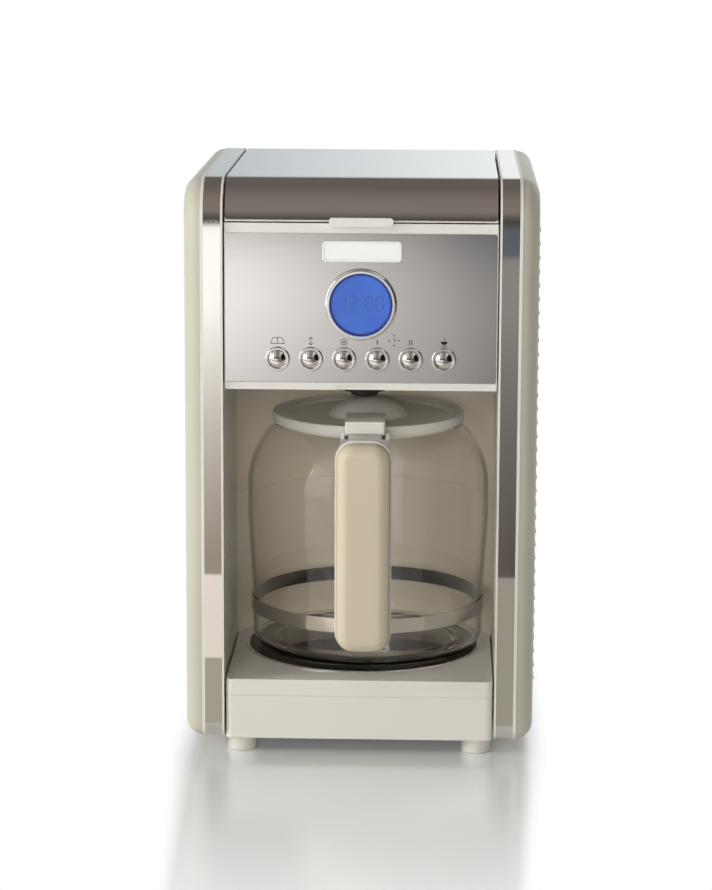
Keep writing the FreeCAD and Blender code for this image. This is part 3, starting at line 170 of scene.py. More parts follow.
def makeBrushLines(look):
    group, start, end = startGroup("brushLines", [
        ("Vector", "vector"), ("Rough Low", "value"), ("Rough High", "value"),
    ], [("Height", "value"), ("Roughness", "value")])
    streak = put(group, "ShaderNodeTexNoise", {"Vector": start["Vector"], "Scale": 1.0,
                                              "Detail": look["detail"], "Roughness": look["rough"]})
    rough = ramp(group, streak.outputs["Fac"], look["span"], (start["Rough Low"], start["Rough High"]))
    fill(group, end, {"Height": streak.outputs["Fac"], "Roughness": rough})
    return group


grainGroup = makeMouldGrain(grainLook)
driftGroup = makeToneDrift(driftLook)
brushGroup = makeBrushLines(brushLook)


def startFinish(name):
    finish = bpy.data.materials.new(name)
    finish.use_nodes = True
    tree = finish.node_tree
    return finish, tree, tree.nodes["Principled BSDF"], put(tree, "ShaderNodeTexCoord").outputs["Object"]


def showSurface(tree, shader):
    tree.links.new(shader, tree.nodes["Material Output"].inputs["Surface"])


def useGroup(tree, group, inputs):
    return put(tree, "ShaderNodeGroup", inputs, node_tree=group)


def driftTone(tree, place, tone, shade, scale):
    drift = useGroup(tree, driftGroup, {"Vector": place, "Tone": paint(*tone), "Shade": paint(*shade),
                                        "Scale": scale})
    return drift.outputs["Colour"]


def bumpNormal(tree, height, strength, depth):
    bump = put(tree, "ShaderNodeBump", {"Height": height, "Strength": strength, "Distance": depth})
    return bump.outputs["Normal"]


# what a moulded finish has where its own look says nothing else
mouldedBase = {"fineness": 1700.0, "bump": 0.05, "bumpDepth": 0.0001, "driftScale": 9.0, "specular": 0.5,
               "coat": 0.0, "coatRough": 0.1, "clear": 0.0}


def moulded(name, ownLook):
    # moulded plastic, rubber and enamel: drifting tone over a fine mould grain
    look = {**mouldedBase, **ownLook}
    finish, tree, shader, place = startFinish(name)
    grain = useGroup(tree, grainGroup, {"Vector": place, "Fineness": look["fineness"],
                                        "Rough Low": look["rough"][0], "Rough High": look["rough"][1]})
    fill(tree, shader, {
        "Base Color": driftTone(tree, place, look["tone"], look["shade"], look["driftScale"]),
        "Roughness": grain.outputs["Roughness"],
        "Normal": bumpNormal(tree, grain.outputs["Height"], look["bump"], look["bumpDepth"]),
        "Specular IOR Level": look["specular"],
        "Coat Weight": look["coat"],
        "Coat Roughness": look["coatRough"],
        "Transmission Weight": look["clear"],
    })
    return finish


metalBase = {"bumpDepth": 0.00005, "driftScale": 9.0}


def brushed(name, ownLook):
    # steel and plated metal: streaks along the working direction, stretched by a Mapping node
    look = {**metalBase, **ownLook}
    finish, tree, shader, place = startFinish(name)
    along = put(tree, "ShaderNodeMapping", {"Vector": place, "Scale": look["stretch"]})
    lines = useGroup(tree, brushGroup, {"Vector": along.outputs["Vector"],
                                        "Rough Low": look["rough"][0], "Rough High": look["rough"][1]})
    fill(tree, shader, {
        "Base Color": driftTone(tree, place, look["tone"], look["shade"], look["driftScale"]),
        "Roughness": lines.outputs["Roughness"],
        "Normal": bumpNormal(tree, lines.outputs["Height"], look["bump"], look["bumpDepth"]),
        "Metallic": 1.0,
    })
    return finish


glassBase = {"bumpDepth": 0.001, "rippleDetail": 1.0, "driftScale": 8.0, "passes": (0.97, 0.965, 0.955)}


def clearGlass(name, ownLook):
    look = {**glassBase, **ownLook}
    finish, tree, shader, place = startFinish(name)
    ripple = put(tree, "ShaderNodeTexNoise", {"Vector": place, "Scale": look["ripple"],
                                             "Detail": look["rippleDetail"]})
    fill(tree, shader, {
        "Base Color": driftTone(tree, place, look["tone"], look["shade"], look["driftScale"]),
        "Normal": bumpNormal(tree, ripple.outputs["Fac"], look["bump"], look["bumpDepth"]),
        "Roughness": 0.0,
        "Transmission Weight": 1.0,
        "IOR": look["ior"],
    })
    rays = put(tree, "ShaderNodeLightPath").outputs        # lamp light passes to what is behind the glass
    passing = combine(tree, "MAXIMUM", rays["Is Shadow Ray"], rays["Is Diffuse Ray"])
    thin = put(tree, "ShaderNodeBsdfTransparent", {"Color": opaque(look["passes"])})
    showSurface(tree, blendShaders(tree, passing, shader.outputs[0], thin.outputs[0]))
    return finish


# finishes of the moulded pieces
mouldedLooks = {
    "ivoryPlastic": {"tone": (216, 213, 204), "shade": (213, 210, 201), "rough": (0.30, 0.34)},
    "panelPlastic": {"tone": (185, 181, 166), "shade": (182, 178, 162), "rough": (0.31, 0.35)},
    "bayPlastic": {"tone": (240, 230, 212), "shade": (236, 226, 207), "rough": (0.33, 0.38), "bump": 0.06},
    "gripPlastic": {"tone": (198, 187, 163), "shade": (194, 183, 158), "rough": (0.17, 0.21),
                    "fineness": 2400.0},
    "badgeSilver": {"tone": (236, 236, 234), "shade": (232, 232, 230), "rough": (0.18, 0.26), "coat": 0.5},
    "footRubber": {"tone": (206, 203, 194), "shade": (200, 197, 187), "rough": (0.45, 0.6), "bump": 0.25},
    "plateEnamel": {"tone": (7, 7, 7), "shade": (4, 4, 4), "rough": (0.16, 0.24), "specular": 0.18},
    "switchBlack": {"tone": (34, 34, 35), "shade": (26, 26, 27), "rough": (0.4, 0.55)},
    "basketPlastic": {"tone": (50, 47, 45), "shade": (42, 40, 38), "rough": (0.32, 0.45)},
    "filterPlastic": {"tone": (92, 78, 66), "shade": (82, 69, 58), "rough": (0.35, 0.5)},
    "tankPlastic": {"tone": (226, 228, 226), "shade": (218, 220, 218), "rough": (0.3, 0.42), "clear": 0.35},
    "hoseSilicone": {"tone": (224, 222, 214), "shade": (214, 212, 204), "rough": (0.4, 0.55), "clear": 0.2},
}

# finishes of the metal pieces; stretch is how tightly the streaks lie along x, y and z
brushedLooks = {
    "stripSteel": {"tone": (232, 228, 222), "shade": (226, 222, 216), "rough": (0.02, 0.04),
                   "stretch": (1800.0, 24.0, 24.0), "bump": 0.015},
    "lidSteel": {"tone": (228, 226, 223), "shade": (225, 222, 219), "rough": (0.10, 0.13),
                 "stretch": (24.0, 1600.0, 1600.0), "bump": 0.006},
    "fasciaSteel": {"tone": (233, 230, 228), "shade": (230, 227, 225), "rough": (0.11, 0.13),
                    "stretch": (20.0, 1600.0, 1600.0), "bump": 0.004},
    "chrome": {"tone": (240, 239, 237), "shade": (236, 234, 232), "rough": (0.03, 0.07),
               "stretch": (260.0, 260.0, 260.0), "bump": 0.01},
    "bandSteel": {"tone": (226, 220, 213), "shade": (220, 214, 206), "rough": (0.10, 0.18),
                  "stretch": (24.0, 24.0, 1500.0), "bump": 0.03},
    "zincSteel": {"tone": (186, 184, 178), "shade": (170, 168, 162), "rough": (0.26, 0.4),
                  "stretch": (300.0, 300.0, 300.0), "bump": 0.08},
    "heaterAlloy": {"tone": (170, 168, 164), "shade": (152, 150, 146), "rough": (0.35, 0.5),
                    "stretch": (420.0, 420.0, 420.0), "bump": 0.2},
    "meshSteel": {"tone": (190, 186, 178), "shade": (176, 172, 164), "rough": (0.28, 0.42),
                  "stretch": (1200.0, 1200.0, 1200.0), "bump": 0.25},
}

# finishes of the clear pieces; ripple is how closely the glass waves
glassLooks = {
    "jugGlass": {"tone": (254, 253, 251), "shade": (252, 251, 248), "ior": 1.47,
                 "ripple": 22.0, "bump": 0.02},
    "lensClear": {"tone": (252, 252, 254), "shade": (249, 250, 253), "ior": 1.3,
                  "ripple": 60.0, "bump": 0.0},
}

finishes = {}
for makeFinish, looks in ((moulded, mouldedLooks), (brushed, brushedLooks), (clearGlass, glassLooks)):
    finishes.update({name: makeFinish(name, look) for name, look in looks.items()})

# lit display: blue with a dark rim, measured from the display's own centre, and the darker digits on it
displayBase = {"centre": (0.0, 0.0, displayZ), "rim": (16, 22, 78), "rimSpan": (0.0172, 0.0192),
               "driftScale": 55.0, "rough": 0.5}
displayLooks = {
    "displayBlue": {"blue": (50, 88, 164), "deep": (43, 78, 154), "glow": 0.72},
    "digitBlue": {"blue": (34, 62, 128), "deep": (30, 56, 120), "glow": 0.62},
}


def makeDisplayBlue(name, ownLook):
    look = {**displayBase, **ownLook}
    finish, tree, shader, place = startFinish(name)
    reach = distanceFrom(tree, place, look["centre"], (1.0, 0.0, 1.0))
    edge = ramp(tree, reach, look["rimSpan"], smooth=True)
    blue = driftTone(tree, place, look["blue"], look["deep"], look["driftScale"])
    lit = blendColours(tree, edge, blue, paint(*look["rim"]))
    fill(tree, shader, {"Base Color": lit, "Emission Color": lit, "Emission Strength": look["glow"],
                        "Roughness": look["rough"]})
    return finish


for name, look in displayLooks.items():
    finishes[name] = makeDisplayBlue(name, look)

# circuit board: green lacquer with lighter copper runs
boardLook = {"lacquer": (34, 88, 52), "run": (62, 122, 78), "pitch": 420.0, "runWide": 0.03,
             "rough": (0.3, 0.42)}


def makeBoardGreen(look):
    finish, tree, shader, place = startFinish("boardGreen")
    lacquer = paint(*look["lacquer"])
    runs = put(tree, "ShaderNodeTexBrick", {"Vector": place, "Scale": look["pitch"],
                                           "Mortar Size": look["runWide"], "Mortar": paint(*look["run"]),
                                           "Color1": lacquer, "Color2": lacquer})
    grain = useGroup(tree, grainGroup, {"Vector": place, "Rough Low": look["rough"][0],
                                        "Rough High": look["rough"][1]})
    fill(tree, shader, {"Base Color": runs.outputs["Color"], "Roughness": grain.outputs["Roughness"]})
    return finish


finishes["boardGreen"] = makeBoardGreen(boardLook)

# the jug's band is bright steel outside; the face that touches the glass is painted dark, a painted
# reflection of the dark surroundings seen through the glass
bandReflectionLook = {"axis": (0.0026, -0.0102, 0.0), "dark": (26, 25, 22), "skin": 0.0002, "fade": 0.0004}


# paints the band's inner face dark: a painted reflection, not the steel's own colour
def paintReflectionInside(finish, look, outside):
    tree = finish.node_tree
    base = tree.nodes["Principled BSDF"].inputs["Base Color"]
    place = put(tree, "ShaderNodeTexCoord").outputs["Object"]
    reach = distanceFrom(tree, place, look["axis"], (1.0, 1.0, 0.0))
    bright = ramp(tree, reach, (outside - look["skin"] - look["fade"], outside - look["skin"]))
    steel = base.links[0].from_socket
    feed(tree, blendColours(tree, bright, paint(*look["dark"]), steel), base)


bandLow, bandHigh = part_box("jug_band")
paintReflectionInside(finishes["bandSteel"], bandReflectionLook, (bandHigh[0] - bandLow[0]) / 2)

# finish of every node, by the record's slot, with the pieces that differ named one by one
slotFinish = {
    "ivory_plastic": "ivoryPlastic", "side_panel_plastic": "panelPlastic", "brushed_trim": "stripSteel",
    "polished_metal": "chrome", "bay_plastic": "bayPlastic", "foot_rubber": "footRubber",
    "plate_enamel": "plateEnamel", "heater_alloy": "heaterAlloy", "zinc_steel": "zincSteel",
    "switch_black": "switchBlack", "board_green": "boardGreen", "display_lens": "lensClear",
    "display_blue": "displayBlue", "tank_plastic": "tankPlastic", "silicone": "hoseSilicone",
    "basket_plastic": "basketPlastic", "filter_plastic": "filterPlastic", "filter_mesh": "meshSteel",
    "jug_glass": "jugGlass", "grip_plastic": "gripPlastic",
}
nodeFinish = {"lid_skin": "lidSteel", "fascia": "fasciaSteel", "jug_band": "bandSteel"}

slotOf = {part["node"]: part["material_slot"] for part in frame["record"]["subparts"]}
for name, node in nodes.items():
    finish = finishes[nodeFinish.get(name) or slotFinish[slotOf[name]]]
    if not node.data.materials:
        node.data.materials.append(finish)
    for index in range(len(node.data.materials)):
        node.data.materials[index] = finish
print("finishes set:", len(finishes))


# short forms for meshes and the objects made from them
def rectangle(width, height):
    mesh = bmesh.new()
    bmesh.ops.create_grid(mesh, x_segments=1, y_segments=1, size=0.5)
    bmesh.ops.scale(mesh, verts=mesh.verts, vec=(width, height, 1.0))
    return mesh


def turnMesh(mesh, angle, axis):
    bmesh.ops.rotate(mesh, verts=mesh.verts, cent=(0, 0, 0), matrix=Matrix.Rotation(angle, 3, axis))


def moveMesh(mesh, place):
    bmesh.ops.translate(mesh, verts=mesh.verts, vec=place)


def roundOff(mesh, parts, offset, affect, segments=1):
    bmesh.ops.bevel(mesh, geom=parts, offset=offset, affect=affect, segments=segments,
                    profile=0.5, material=-1)


def closeMesh(name, mesh):
    data = bpy.data.meshes.new(name)
    mesh.to_mesh(data)
    mesh.free()
    return data


def placeObject(name, data):
    made = bpy.data.objects.new(name, data)
    scene.collection.objects.link(made)
    return made


weldGap = 1e-7        # points nearer than this become one


def finishPiece(name, mesh, body, finish, smooth=False):
    # closes a bmesh into an object at the origin and hangs it on its body
    bmesh.ops.remove_doubles(mesh, verts=mesh.verts, dist=weldGap)
    bmesh.ops.recalc_face_normals(mesh, faces=mesh.faces)
    piece = placeObject(name, closeMesh(name, mesh))
    piece.data.materials.append(finishes[finish])
    for face in piece.data.polygons:
        face.use_smooth = smooth
    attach(piece, body)
    return piece


def thicken(mesh, thick):
    made = bmesh.ops.extrude_face_region(mesh, geom=list(mesh.faces))
    raised = [part for part in made["geom"] if isinstance(part, bmesh.types.BMVert)]
    bmesh.ops.translate(mesh, verts=raised, vec=(0, 0, thick))


def faceFront(mesh, x, y, z):
    # a flat shape drawn in x and y is stood up to face the front, its +z side outwards
    turnMesh(mesh, math.pi / 2, "X")
    moveMesh(mesh, (x, y, z))


# bare badge plate: a rounded plate with a raised rim, a narrow groove and a plain field
badge = {"width": 0.0488, "height": 0.0128, "corner": 0.0024, "cornerSteps": 6, "thick": 0.0011,
         "round": 0.00025, "roundSteps": 3, "rim": 0.0009, "groove": 0.0004, "sunk": 0.0006, "field": 0.0003,
         "x": 0.0005, "y": printPlane, "z": 0.32075}


def makeBadge(look):
    mesh = rectangle(look["width"], look["height"])
    roundOff(mesh, list(mesh.verts), look["corner"], "VERTICES", look["cornerSteps"])
    thicken(mesh, look["thick"])
    bmesh.ops.recalc_face_normals(mesh, faces=mesh.faces)
    field = max(mesh.faces, key=lambda face: face.calc_center_median().z)
    crown = list(field.edges)
    halfGroove = look["groove"] / 2
    for thickness, depth in ((look["rim"], 0.0), (halfGroove, -look["sunk"]), (halfGroove, look["field"])):
        bmesh.ops.inset_region(mesh, faces=[field], thickness=thickness, depth=depth)
    roundOff(mesh, crown, look["round"], "EDGES", look["roundSteps"])
    faceFront(mesh, look["x"], look["y"], look["z"])
    finishPiece("badge_plate", mesh, "housing", "badgeSilver")


makeBadge(badge)
print("badge plate made")

# flat bars and discs that the digits and marks are drawn with
barClip = 0.42        # what a bar's corners lose, as a part of its narrow side
discSides = 24


def addBar(mesh, x, y, width, height, turn=0.0):
    clip = barClip * min(width, height)
    bar = bmesh.ops.create_grid(mesh, x_segments=1, y_segments=1, size=0.5)["verts"]
    bmesh.ops.scale(mesh, verts=bar, vec=(width, height, 1.0))
    bmesh.ops.rotate(mesh, verts=bar, cent=(0, 0, 0), matrix=Matrix.Rotation(turn, 3, "Z"))
    bmesh.ops.translate(mesh, verts=bar, vec=(x, y, 0.0))
    roundOff(mesh, bar, clip, "VERTICES")


def addDisc(mesh, x, y, radius, hole=0.0):
    disc = bmesh.ops.create_circle(mesh, cap_ends=True, segments=discSides, radius=radius)["verts"]
    bmesh.ops.translate(mesh, verts=disc, vec=(x, y, 0.0))
    if hole:
        face = disc[0].link_faces[0]
        bmesh.ops.inset_region(mesh, faces=[face], thickness=radius - hole, use_boundary=True)
        bmesh.ops.delete(mesh, geom=[face], context="FACES")


# digits of the clock: the bars of each figure, by their places in a seven-bar cell
digits = {"wide": 0.0044, "high": 0.0088, "bar": 0.0008, "colonY": 0.00176, "thick": 0.00005,
          "y": printPlane, "z": displayZ + 0.0009,
          "cells": ((-0.0116, "bc"), (-0.0050, "abged"), (0.0050, "abcdef"), (0.0116, "abcdef"))}


def makeDigits(look):
    mesh = bmesh.new()
    wide, high, bar = look["wide"], look["high"], look["bar"]
    level, upright = (wide - bar, bar), (bar, high / 2 - bar)
    bars = {
        "a": (0, high / 2, level), "g": (0, 0, level), "d": (0, -high / 2, level),
        "f": (-wide / 2, high / 4, upright), "b": (wide / 2, high / 4, upright),
        "e": (-wide / 2, -high / 4, upright), "c": (wide / 2, -high / 4, upright),
    }
    for cellX, letters in look["cells"]:
        for letter in letters:
            x, y, size = bars[letter]
            addBar(mesh, cellX + x, y, *size)
    for side in (-1, 1):
        addBar(mesh, 0.0, side * look["colonY"], bar, bar)
    thicken(mesh, look["thick"])
    faceFront(mesh, 0.0, look["y"], look["z"])
    finishPiece("display_digits", mesh, "housing", "digitBlue")


makeDigits(digits)

# printed marks over the buttons: plain pictograms, each drawn about an x of its own
tray = {"wallX": 0.0036, "wallHigh": 0.0040, "lean": 0.42, "midY": 0.0006, "midHigh": 0.0036,
        "topY": 0.0024, "topWide": 0.0056, "footY": -0.0012, "footWide": 0.0088}


def drawTray(mesh, x, line, look):
    # a tray with a middle wall
    for side in (-1, 1):
        addBar(mesh, x + side * look["wallX"], look["midY"], line, look["wallHigh"], side * look["lean"])
    addBar(mesh, x, look["topY"], look["topWide"], line)
    addBar(mesh, x, look["midY"], line, look["midHigh"])
    addBar(mesh, x, look["footY"], look["footWide"], line)


arrow = {"y": 0.0004, "high": 0.0046, "tipX": 0.0007, "tipY": 0.0018, "tipLong": 0.0020, "tipTurn": 0.8}


def drawArrow(mesh, x, line, look):
    # an arrow both ways
    addBar(mesh, x, look["y"], line, look["high"])
    for end in (-1, 1):
        for side in (-1, 1):
            addBar(mesh, x + side * look["tipX"], look["y"] + end * look["tipY"], line, look["tipLong"],
                   side * end * look["tipTurn"])


ring = {"radius": 0.0021, "dot": 0.0007}


def drawRing(mesh, x, line, look):
    # a ring with a dot
    addDisc(mesh, x, 0.0, look["radius"], look["radius"] - line)
    addDisc(mesh, x, 0.0, look["dot"])


strokes = {"high": 0.0032, "bold": 1.5, "apart": 0.0007}


def drawStrokes(mesh, x, line, look, sides):
    # one stroke for hours, two for minutes
    for side in sides:
        addBar(mesh, x + side * look["apart"], 0.0, line * look["bold"], look["high"])


clock = {"y": 0.0012, "radius": 0.0030, "dot": 0.00045, "handY": 0.0022, "handHigh": 0.0020,
         "armX": 0.0008, "armWide": 0.0016}


def drawClock(mesh, x, line, look):
    # four dots and two hands
    for quarter in range(4):
        turn = quarter * math.pi / 2
        addDisc(mesh, x + look["radius"] * math.sin(turn), look["y"] + look["radius"] * math.cos(turn),
                look["dot"])
    addBar(mesh, x, look["handY"], line, look["handHigh"])
    addBar(mesh, x + look["armX"], look["y"], look["armWide"], line)


cup = {"rimY": 0.0006, "rimWide": 0.0046, "rimBold": 1.2, "layers": 4, "topY": 0.0002, "drop": 0.00045,
       "wide": 0.0040, "taper": 0.0003, "layerHigh": 0.0006, "saucerY": -0.0021, "saucerWide": 0.0034,
       "steamX": 0.0003, "steamY": 0.0023, "steamHigh": 0.0016, "steamLean": 0.3}


def drawCup(mesh, x, line, look):
    # a cup on a saucer, with steam
    addBar(mesh, x, look["rimY"], look["rimWide"], line * look["rimBold"])
    for layer in range(look["layers"]):
        addBar(mesh, x, look["topY"] - layer * look["drop"], look["wide"] - layer * layer * look["taper"],
               look["layerHigh"])
    addBar(mesh, x, look["saucerY"], look["saucerWide"], line)
    addBar(mesh, x + look["steamX"], look["steamY"], line, look["steamHigh"], look["steamLean"])


marks = {"pitch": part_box("button_select")[0][0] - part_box("button_program")[0][0], "count": 6,
         "line": 0.00038, "thick": 0.00004, "y": printPlane, "z": 0.26425}


def makeMarks(look):
    mesh = bmesh.new()
    line = look["line"]
    middle = (look["count"] - 1) / 2
    places = [look["pitch"] * (step - middle) for step in range(look["count"])]
    programX, selectX, autoX, hourX, minuteX, brewX = places
    drawTray(mesh, programX, line, tray)
    drawArrow(mesh, selectX, line, arrow)
    drawRing(mesh, autoX, line, ring)
    drawStrokes(mesh, hourX, line, strokes, (0,))
    drawStrokes(mesh, minuteX, line, strokes, (-1, 1))
    drawClock(mesh, (hourX + minuteX) / 2, line, clock)
    drawCup(mesh, brewX, line, cup)
    thicken(mesh, look["thick"])
    faceFront(mesh, 0.0, look["y"], look["z"])
    finishPiece("button_marks", mesh, "housing", "switchBlack")


makeMarks(marks)
print("digits and marks made")

# side panels with their field of low studs; the studs end where the plain panel did
studs = {"pitch": 0.0087, "radius": 0.0016, "crown": 0.0010, "high": 0.0009, "root": 0.0003, "round": 0.0004,
         "roundSteps": 2, "sides": 10, "margin": 0.0045, "pivot": 0.0995, "start": (-0.0828, 0.0455),
         "end": (0.125, 0.340), "probe": 0.01, "flat": 0.00005, "sharp": 0.6, "weld": 1e-6}


def makeStud(side, look, outer):
    mesh = bmesh.new()
    depth = look["high"] + look["root"]
    bmesh.ops.create_cone(mesh, cap_ends=True, cap_tris=False, segments=look["sides"],
                          radius1=look["radius"], radius2=look["crown"], depth=depth)
    crown = [edge for edge in mesh.edges if all(vert.co.z > 0 for vert in edge.verts)]
    roundOff(mesh, crown, look["round"], "EDGES", look["roundSteps"])
    turnMesh(mesh, side * math.pi / 2, "Y")
    moveMesh(mesh, (side * (outer - depth / 2), 0, 0))
    return closeMesh("stud", mesh)


def isFlat(plain, side, outer, y, z, look):
    # whether the plain panel is flat all round a stud
    for cornerY in (y - look["margin"], y + look["margin"]):
        for cornerZ in (z - look["margin"], z + look["margin"]):
            hit = plain.ray_cast((side * (outer + look["probe"]), cornerY, cornerZ), (-side, 0, 0))[0]
            if hit is None or abs(hit.x) < outer - look["flat"]:
                return False
    return True


def makeStuddedPanel(side, look):
    name = "side_panel_right" if side > 0 else "side_panel_left"
    low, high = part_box(name)
    outer = max(abs(low[0]), abs(high[0]))
    pivot = look["pivot"]
    mesh = bmesh.new()
    mesh.from_mesh(nodes[name].data)
    bmesh.ops.remove_doubles(mesh, verts=mesh.verts, dist=look["weld"])
    plain = BVHTree.FromBMesh(mesh)
    shrink = (outer - look["high"] - pivot) / (outer - pivot)        # makes room for the studs
    for vert in mesh.verts:
        if abs(vert.co.x) > pivot:
            vert.co.x = side * (pivot + (abs(vert.co.x) - pivot) * shrink)
    stud = makeStud(side, look, outer)
    placed = Vector((0.0, 0.0, 0.0))
    pitch = look["pitch"]
    (startY, startZ), (endY, endZ) = look["start"], look["end"]
    count = 0
    for column in range(int((endY - startY) / pitch) + 1):
        for row in range(int((endZ - startZ) / pitch) + 1):
            spot = Vector((0.0, startY + column * pitch, startZ + row * pitch))
            if isFlat(plain, side, outer, spot.y, spot.z, look):
                stud.transform(Matrix.Translation(spot - placed))
                placed = spot
                mesh.from_mesh(stud)
                count += 1
    bpy.data.meshes.remove(stud)
    piece = finishPiece(name + "_studded", mesh, "housing", "panelPlastic",
                        smooth=True)
    piece.data.set_sharp_from_angle(angle=look["sharp"])
    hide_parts(name)
    print(name, "studs:", count)


for side in (-1, 1):
    makeStuddedPanel(side, studs)

# camera at the photograph's angle, for an image of 712 by 890; the turns are in degrees
shot = {"lens": 117.1, "height": 36.0, "place": (0.0512, -1.8751, 0.5389),
        "yaw": 1.74, "pitch": 10.84, "roll": -0.26}


def makeCamera(look):
    data = bpy.data.cameras.new("photoCamera")
    data.lens = look["lens"]
    data.sensor_fit = "VERTICAL"
    data.sensor_height = look["height"]
    yaw, pitch, roll = (math.radians(look[key]) for key in ("yaw", "pitch", "roll"))
    ahead = Vector((-math.sin(yaw) * math.cos(pitch), math.cos(yaw) * math.cos(pitch), -math.sin(pitch)))
    right = Vector((math.cos(yaw), math.sin(yaw), 0.0))
    down = ahead.cross(right)
    turnedRight = right * math.cos(roll) + down * math.sin(roll)
    turnedDown = down * math.cos(roll) - right * math.sin(roll)
    turn = Matrix((turnedRight, -turnedDown, -ahead)).transposed().to_4x4()
    camera = placeObject("photoCamera", data)
    camera.matrix_world = Matrix.Translation(Vector(look["place"])) @ turn
    scene.camera = camera


makeCamera(shot)

# studio: white to the camera, a room and a backdrop to the metal; spans are in x, y or z of a direction
studio = {
    "fillFront": (0.05, 0.05, 0.048), "fillRear": (0.42, 0.42, 0.41), "fillSpanY": (0.0, 0.6),
    "zenith": (0.155, 0.132, 0.12), "room": (0.25, 0.215, 0.195), "roomSpanY": (0.1, -0.7),
    "roomSide": (0.62, 0.61, 0.59), "sideSpanX": (0.13, 0.45),
    "roomLow": (0.085, 0.075, 0.068), "lowSpanZ": (-0.02, 0.32),
    "backdropLeft": (0.53, 0.57, 0.60), "backdrop": (0.94, 0.97, 0.98), "backdropSpanX": (-0.085, 0.025),
    "backdropStartY": (0.0, 0.3), "backdropEndZ": (0.36, 0.62),
}


def makeWorld(look):
    world = bpy.data.worlds.new("studio")
    scene.world = world
    world.use_nodes = True
    tree = world.node_tree
    tree.nodes.clear()
    direction = put(tree, "ShaderNodeTexCoord").outputs["Generated"]
    x, y, z = put(tree, "ShaderNodeSeparateXYZ", {"Vector": direction}).outputs
    tones = {key: opaque(value) for key, value in look.items() if len(value) == 3}        # not the spans
    fillTone = blendColours(tree, ramp(tree, y, look["fillSpanY"], smooth=True),
                            tones["fillFront"], tones["fillRear"])
    upper = blendColours(tree, ramp(tree, y, look["roomSpanY"]), tones["zenith"], tones["room"])
    aside = ramp(tree, combine(tree, "ABSOLUTE", x), look["sideSpanX"], smooth=True)
    upper = blendColours(tree, aside, upper, tones["roomSide"])
    room = blendColours(tree, ramp(tree, z, look["lowSpanZ"]), tones["roomLow"], upper)
    paper = blendColours(tree, ramp(tree, x, look["backdropSpanX"]),
                         tones["backdropLeft"], tones["backdrop"])
    backdrop = combine(tree, "MULTIPLY", ramp(tree, y, look["backdropStartY"], smooth=True),
                       ramp(tree, z, look["backdropEndZ"], (1.0, 0.0), smooth=True))
    mirrored = blendColours(tree, backdrop, room, paper)
    fillLight, mirrorLight, plainWhite = (put(tree, "ShaderNodeBackground", {"Color": colour}).outputs[0]
                                          for colour in (fillTone, mirrored, white))
    rays = put(tree, "ShaderNodeLightPath").outputs
    lit = blendShaders(tree, rays["Is Glossy Ray"], fillLight, mirrorLight)
    seen = combine(tree, "MAXIMUM", rays["Is Camera Ray"], rays["Is Transmission Ray"])
    put(tree, "ShaderNodeOutputWorld", {"Surface": blendShaders(tree, seen, lit, plainWhite)})


makeWorld(studio)


def stageObject(name, mesh, finish):
    made = placeObject(name, closeMesh(name, mesh))
    made.data.materials.append(finish)
    return made


# floor: pale and softly polished, white to the camera away from the machine's shadow and mirror image
floorLook = {
    "size": 6.4, "centre": (0.0, 0.25, 0.0),
    "tone": (238, 238, 235), "shade": (236, 236, 233), "driftScale": 3.0,
    "rough": 0.6, "specular": 0.1, "gloss": 0.22, "mirror": 0.42,
    "besideSpan": (0.100, 0.122), "behindSpan": (-0.02, 0.14),
    "taperSpan": (-0.105, -0.37), "taper": (1.0, 1.18), "aheadSpan": (-0.60, -0.15), "ahead": (1.0, 0.10),
}


def makeFloor(look):
    mesh = rectangle(look["size"], look["size"])
    moveMesh(mesh, look["centre"])
    finish, tree, shader, place = startFinish("floorPaper")
    fill(tree, shader, {
        "Base Color": driftTone(tree, place, look["tone"], look["shade"], look["driftScale"]),
        "Roughness": look["rough"], "Specular IOR Level": look["specular"],
    })
    spot = put(tree, "ShaderNodeSeparateXYZ", {"Vector": place}).outputs
    across = combine(tree, "MULTIPLY", combine(tree, "ABSOLUTE", spot["X"]),
                     ramp(tree, spot["Y"], look["taperSpan"], look["taper"]))
    clear = combine(tree, "MAXIMUM", ramp(tree, across, look["besideSpan"], smooth=True),
                    ramp(tree, spot["Y"], look["behindSpan"], smooth=True))
    clear = combine(tree, "MAXIMUM", clear, ramp(tree, spot["Y"], look["aheadSpan"], look["ahead"]))
    rays = put(tree, "ShaderNodeLightPath").outputs
    seen = combine(tree, "MAXIMUM", rays["Is Camera Ray"], rays["Is Glossy Ray"])
    seen = combine(tree, "MAXIMUM", seen, rays["Is Transmission Ray"])
    polish = put(tree, "ShaderNodeBsdfAnisotropic", {"Color": white, "Roughness": look["gloss"]})
    paper = blendShaders(tree, look["mirror"], shader.outputs[0], polish.outputs[0])
    shine = put(tree, "ShaderNodeEmission", {"Color": white, "Strength": 1.0})
    showSurface(tree, blendShaders(tree, combine(tree, "MULTIPLY", seen, clear), paper, shine.outputs[0]))
    stageObject("floor", mesh, finish)


makeFloor(floorLook)

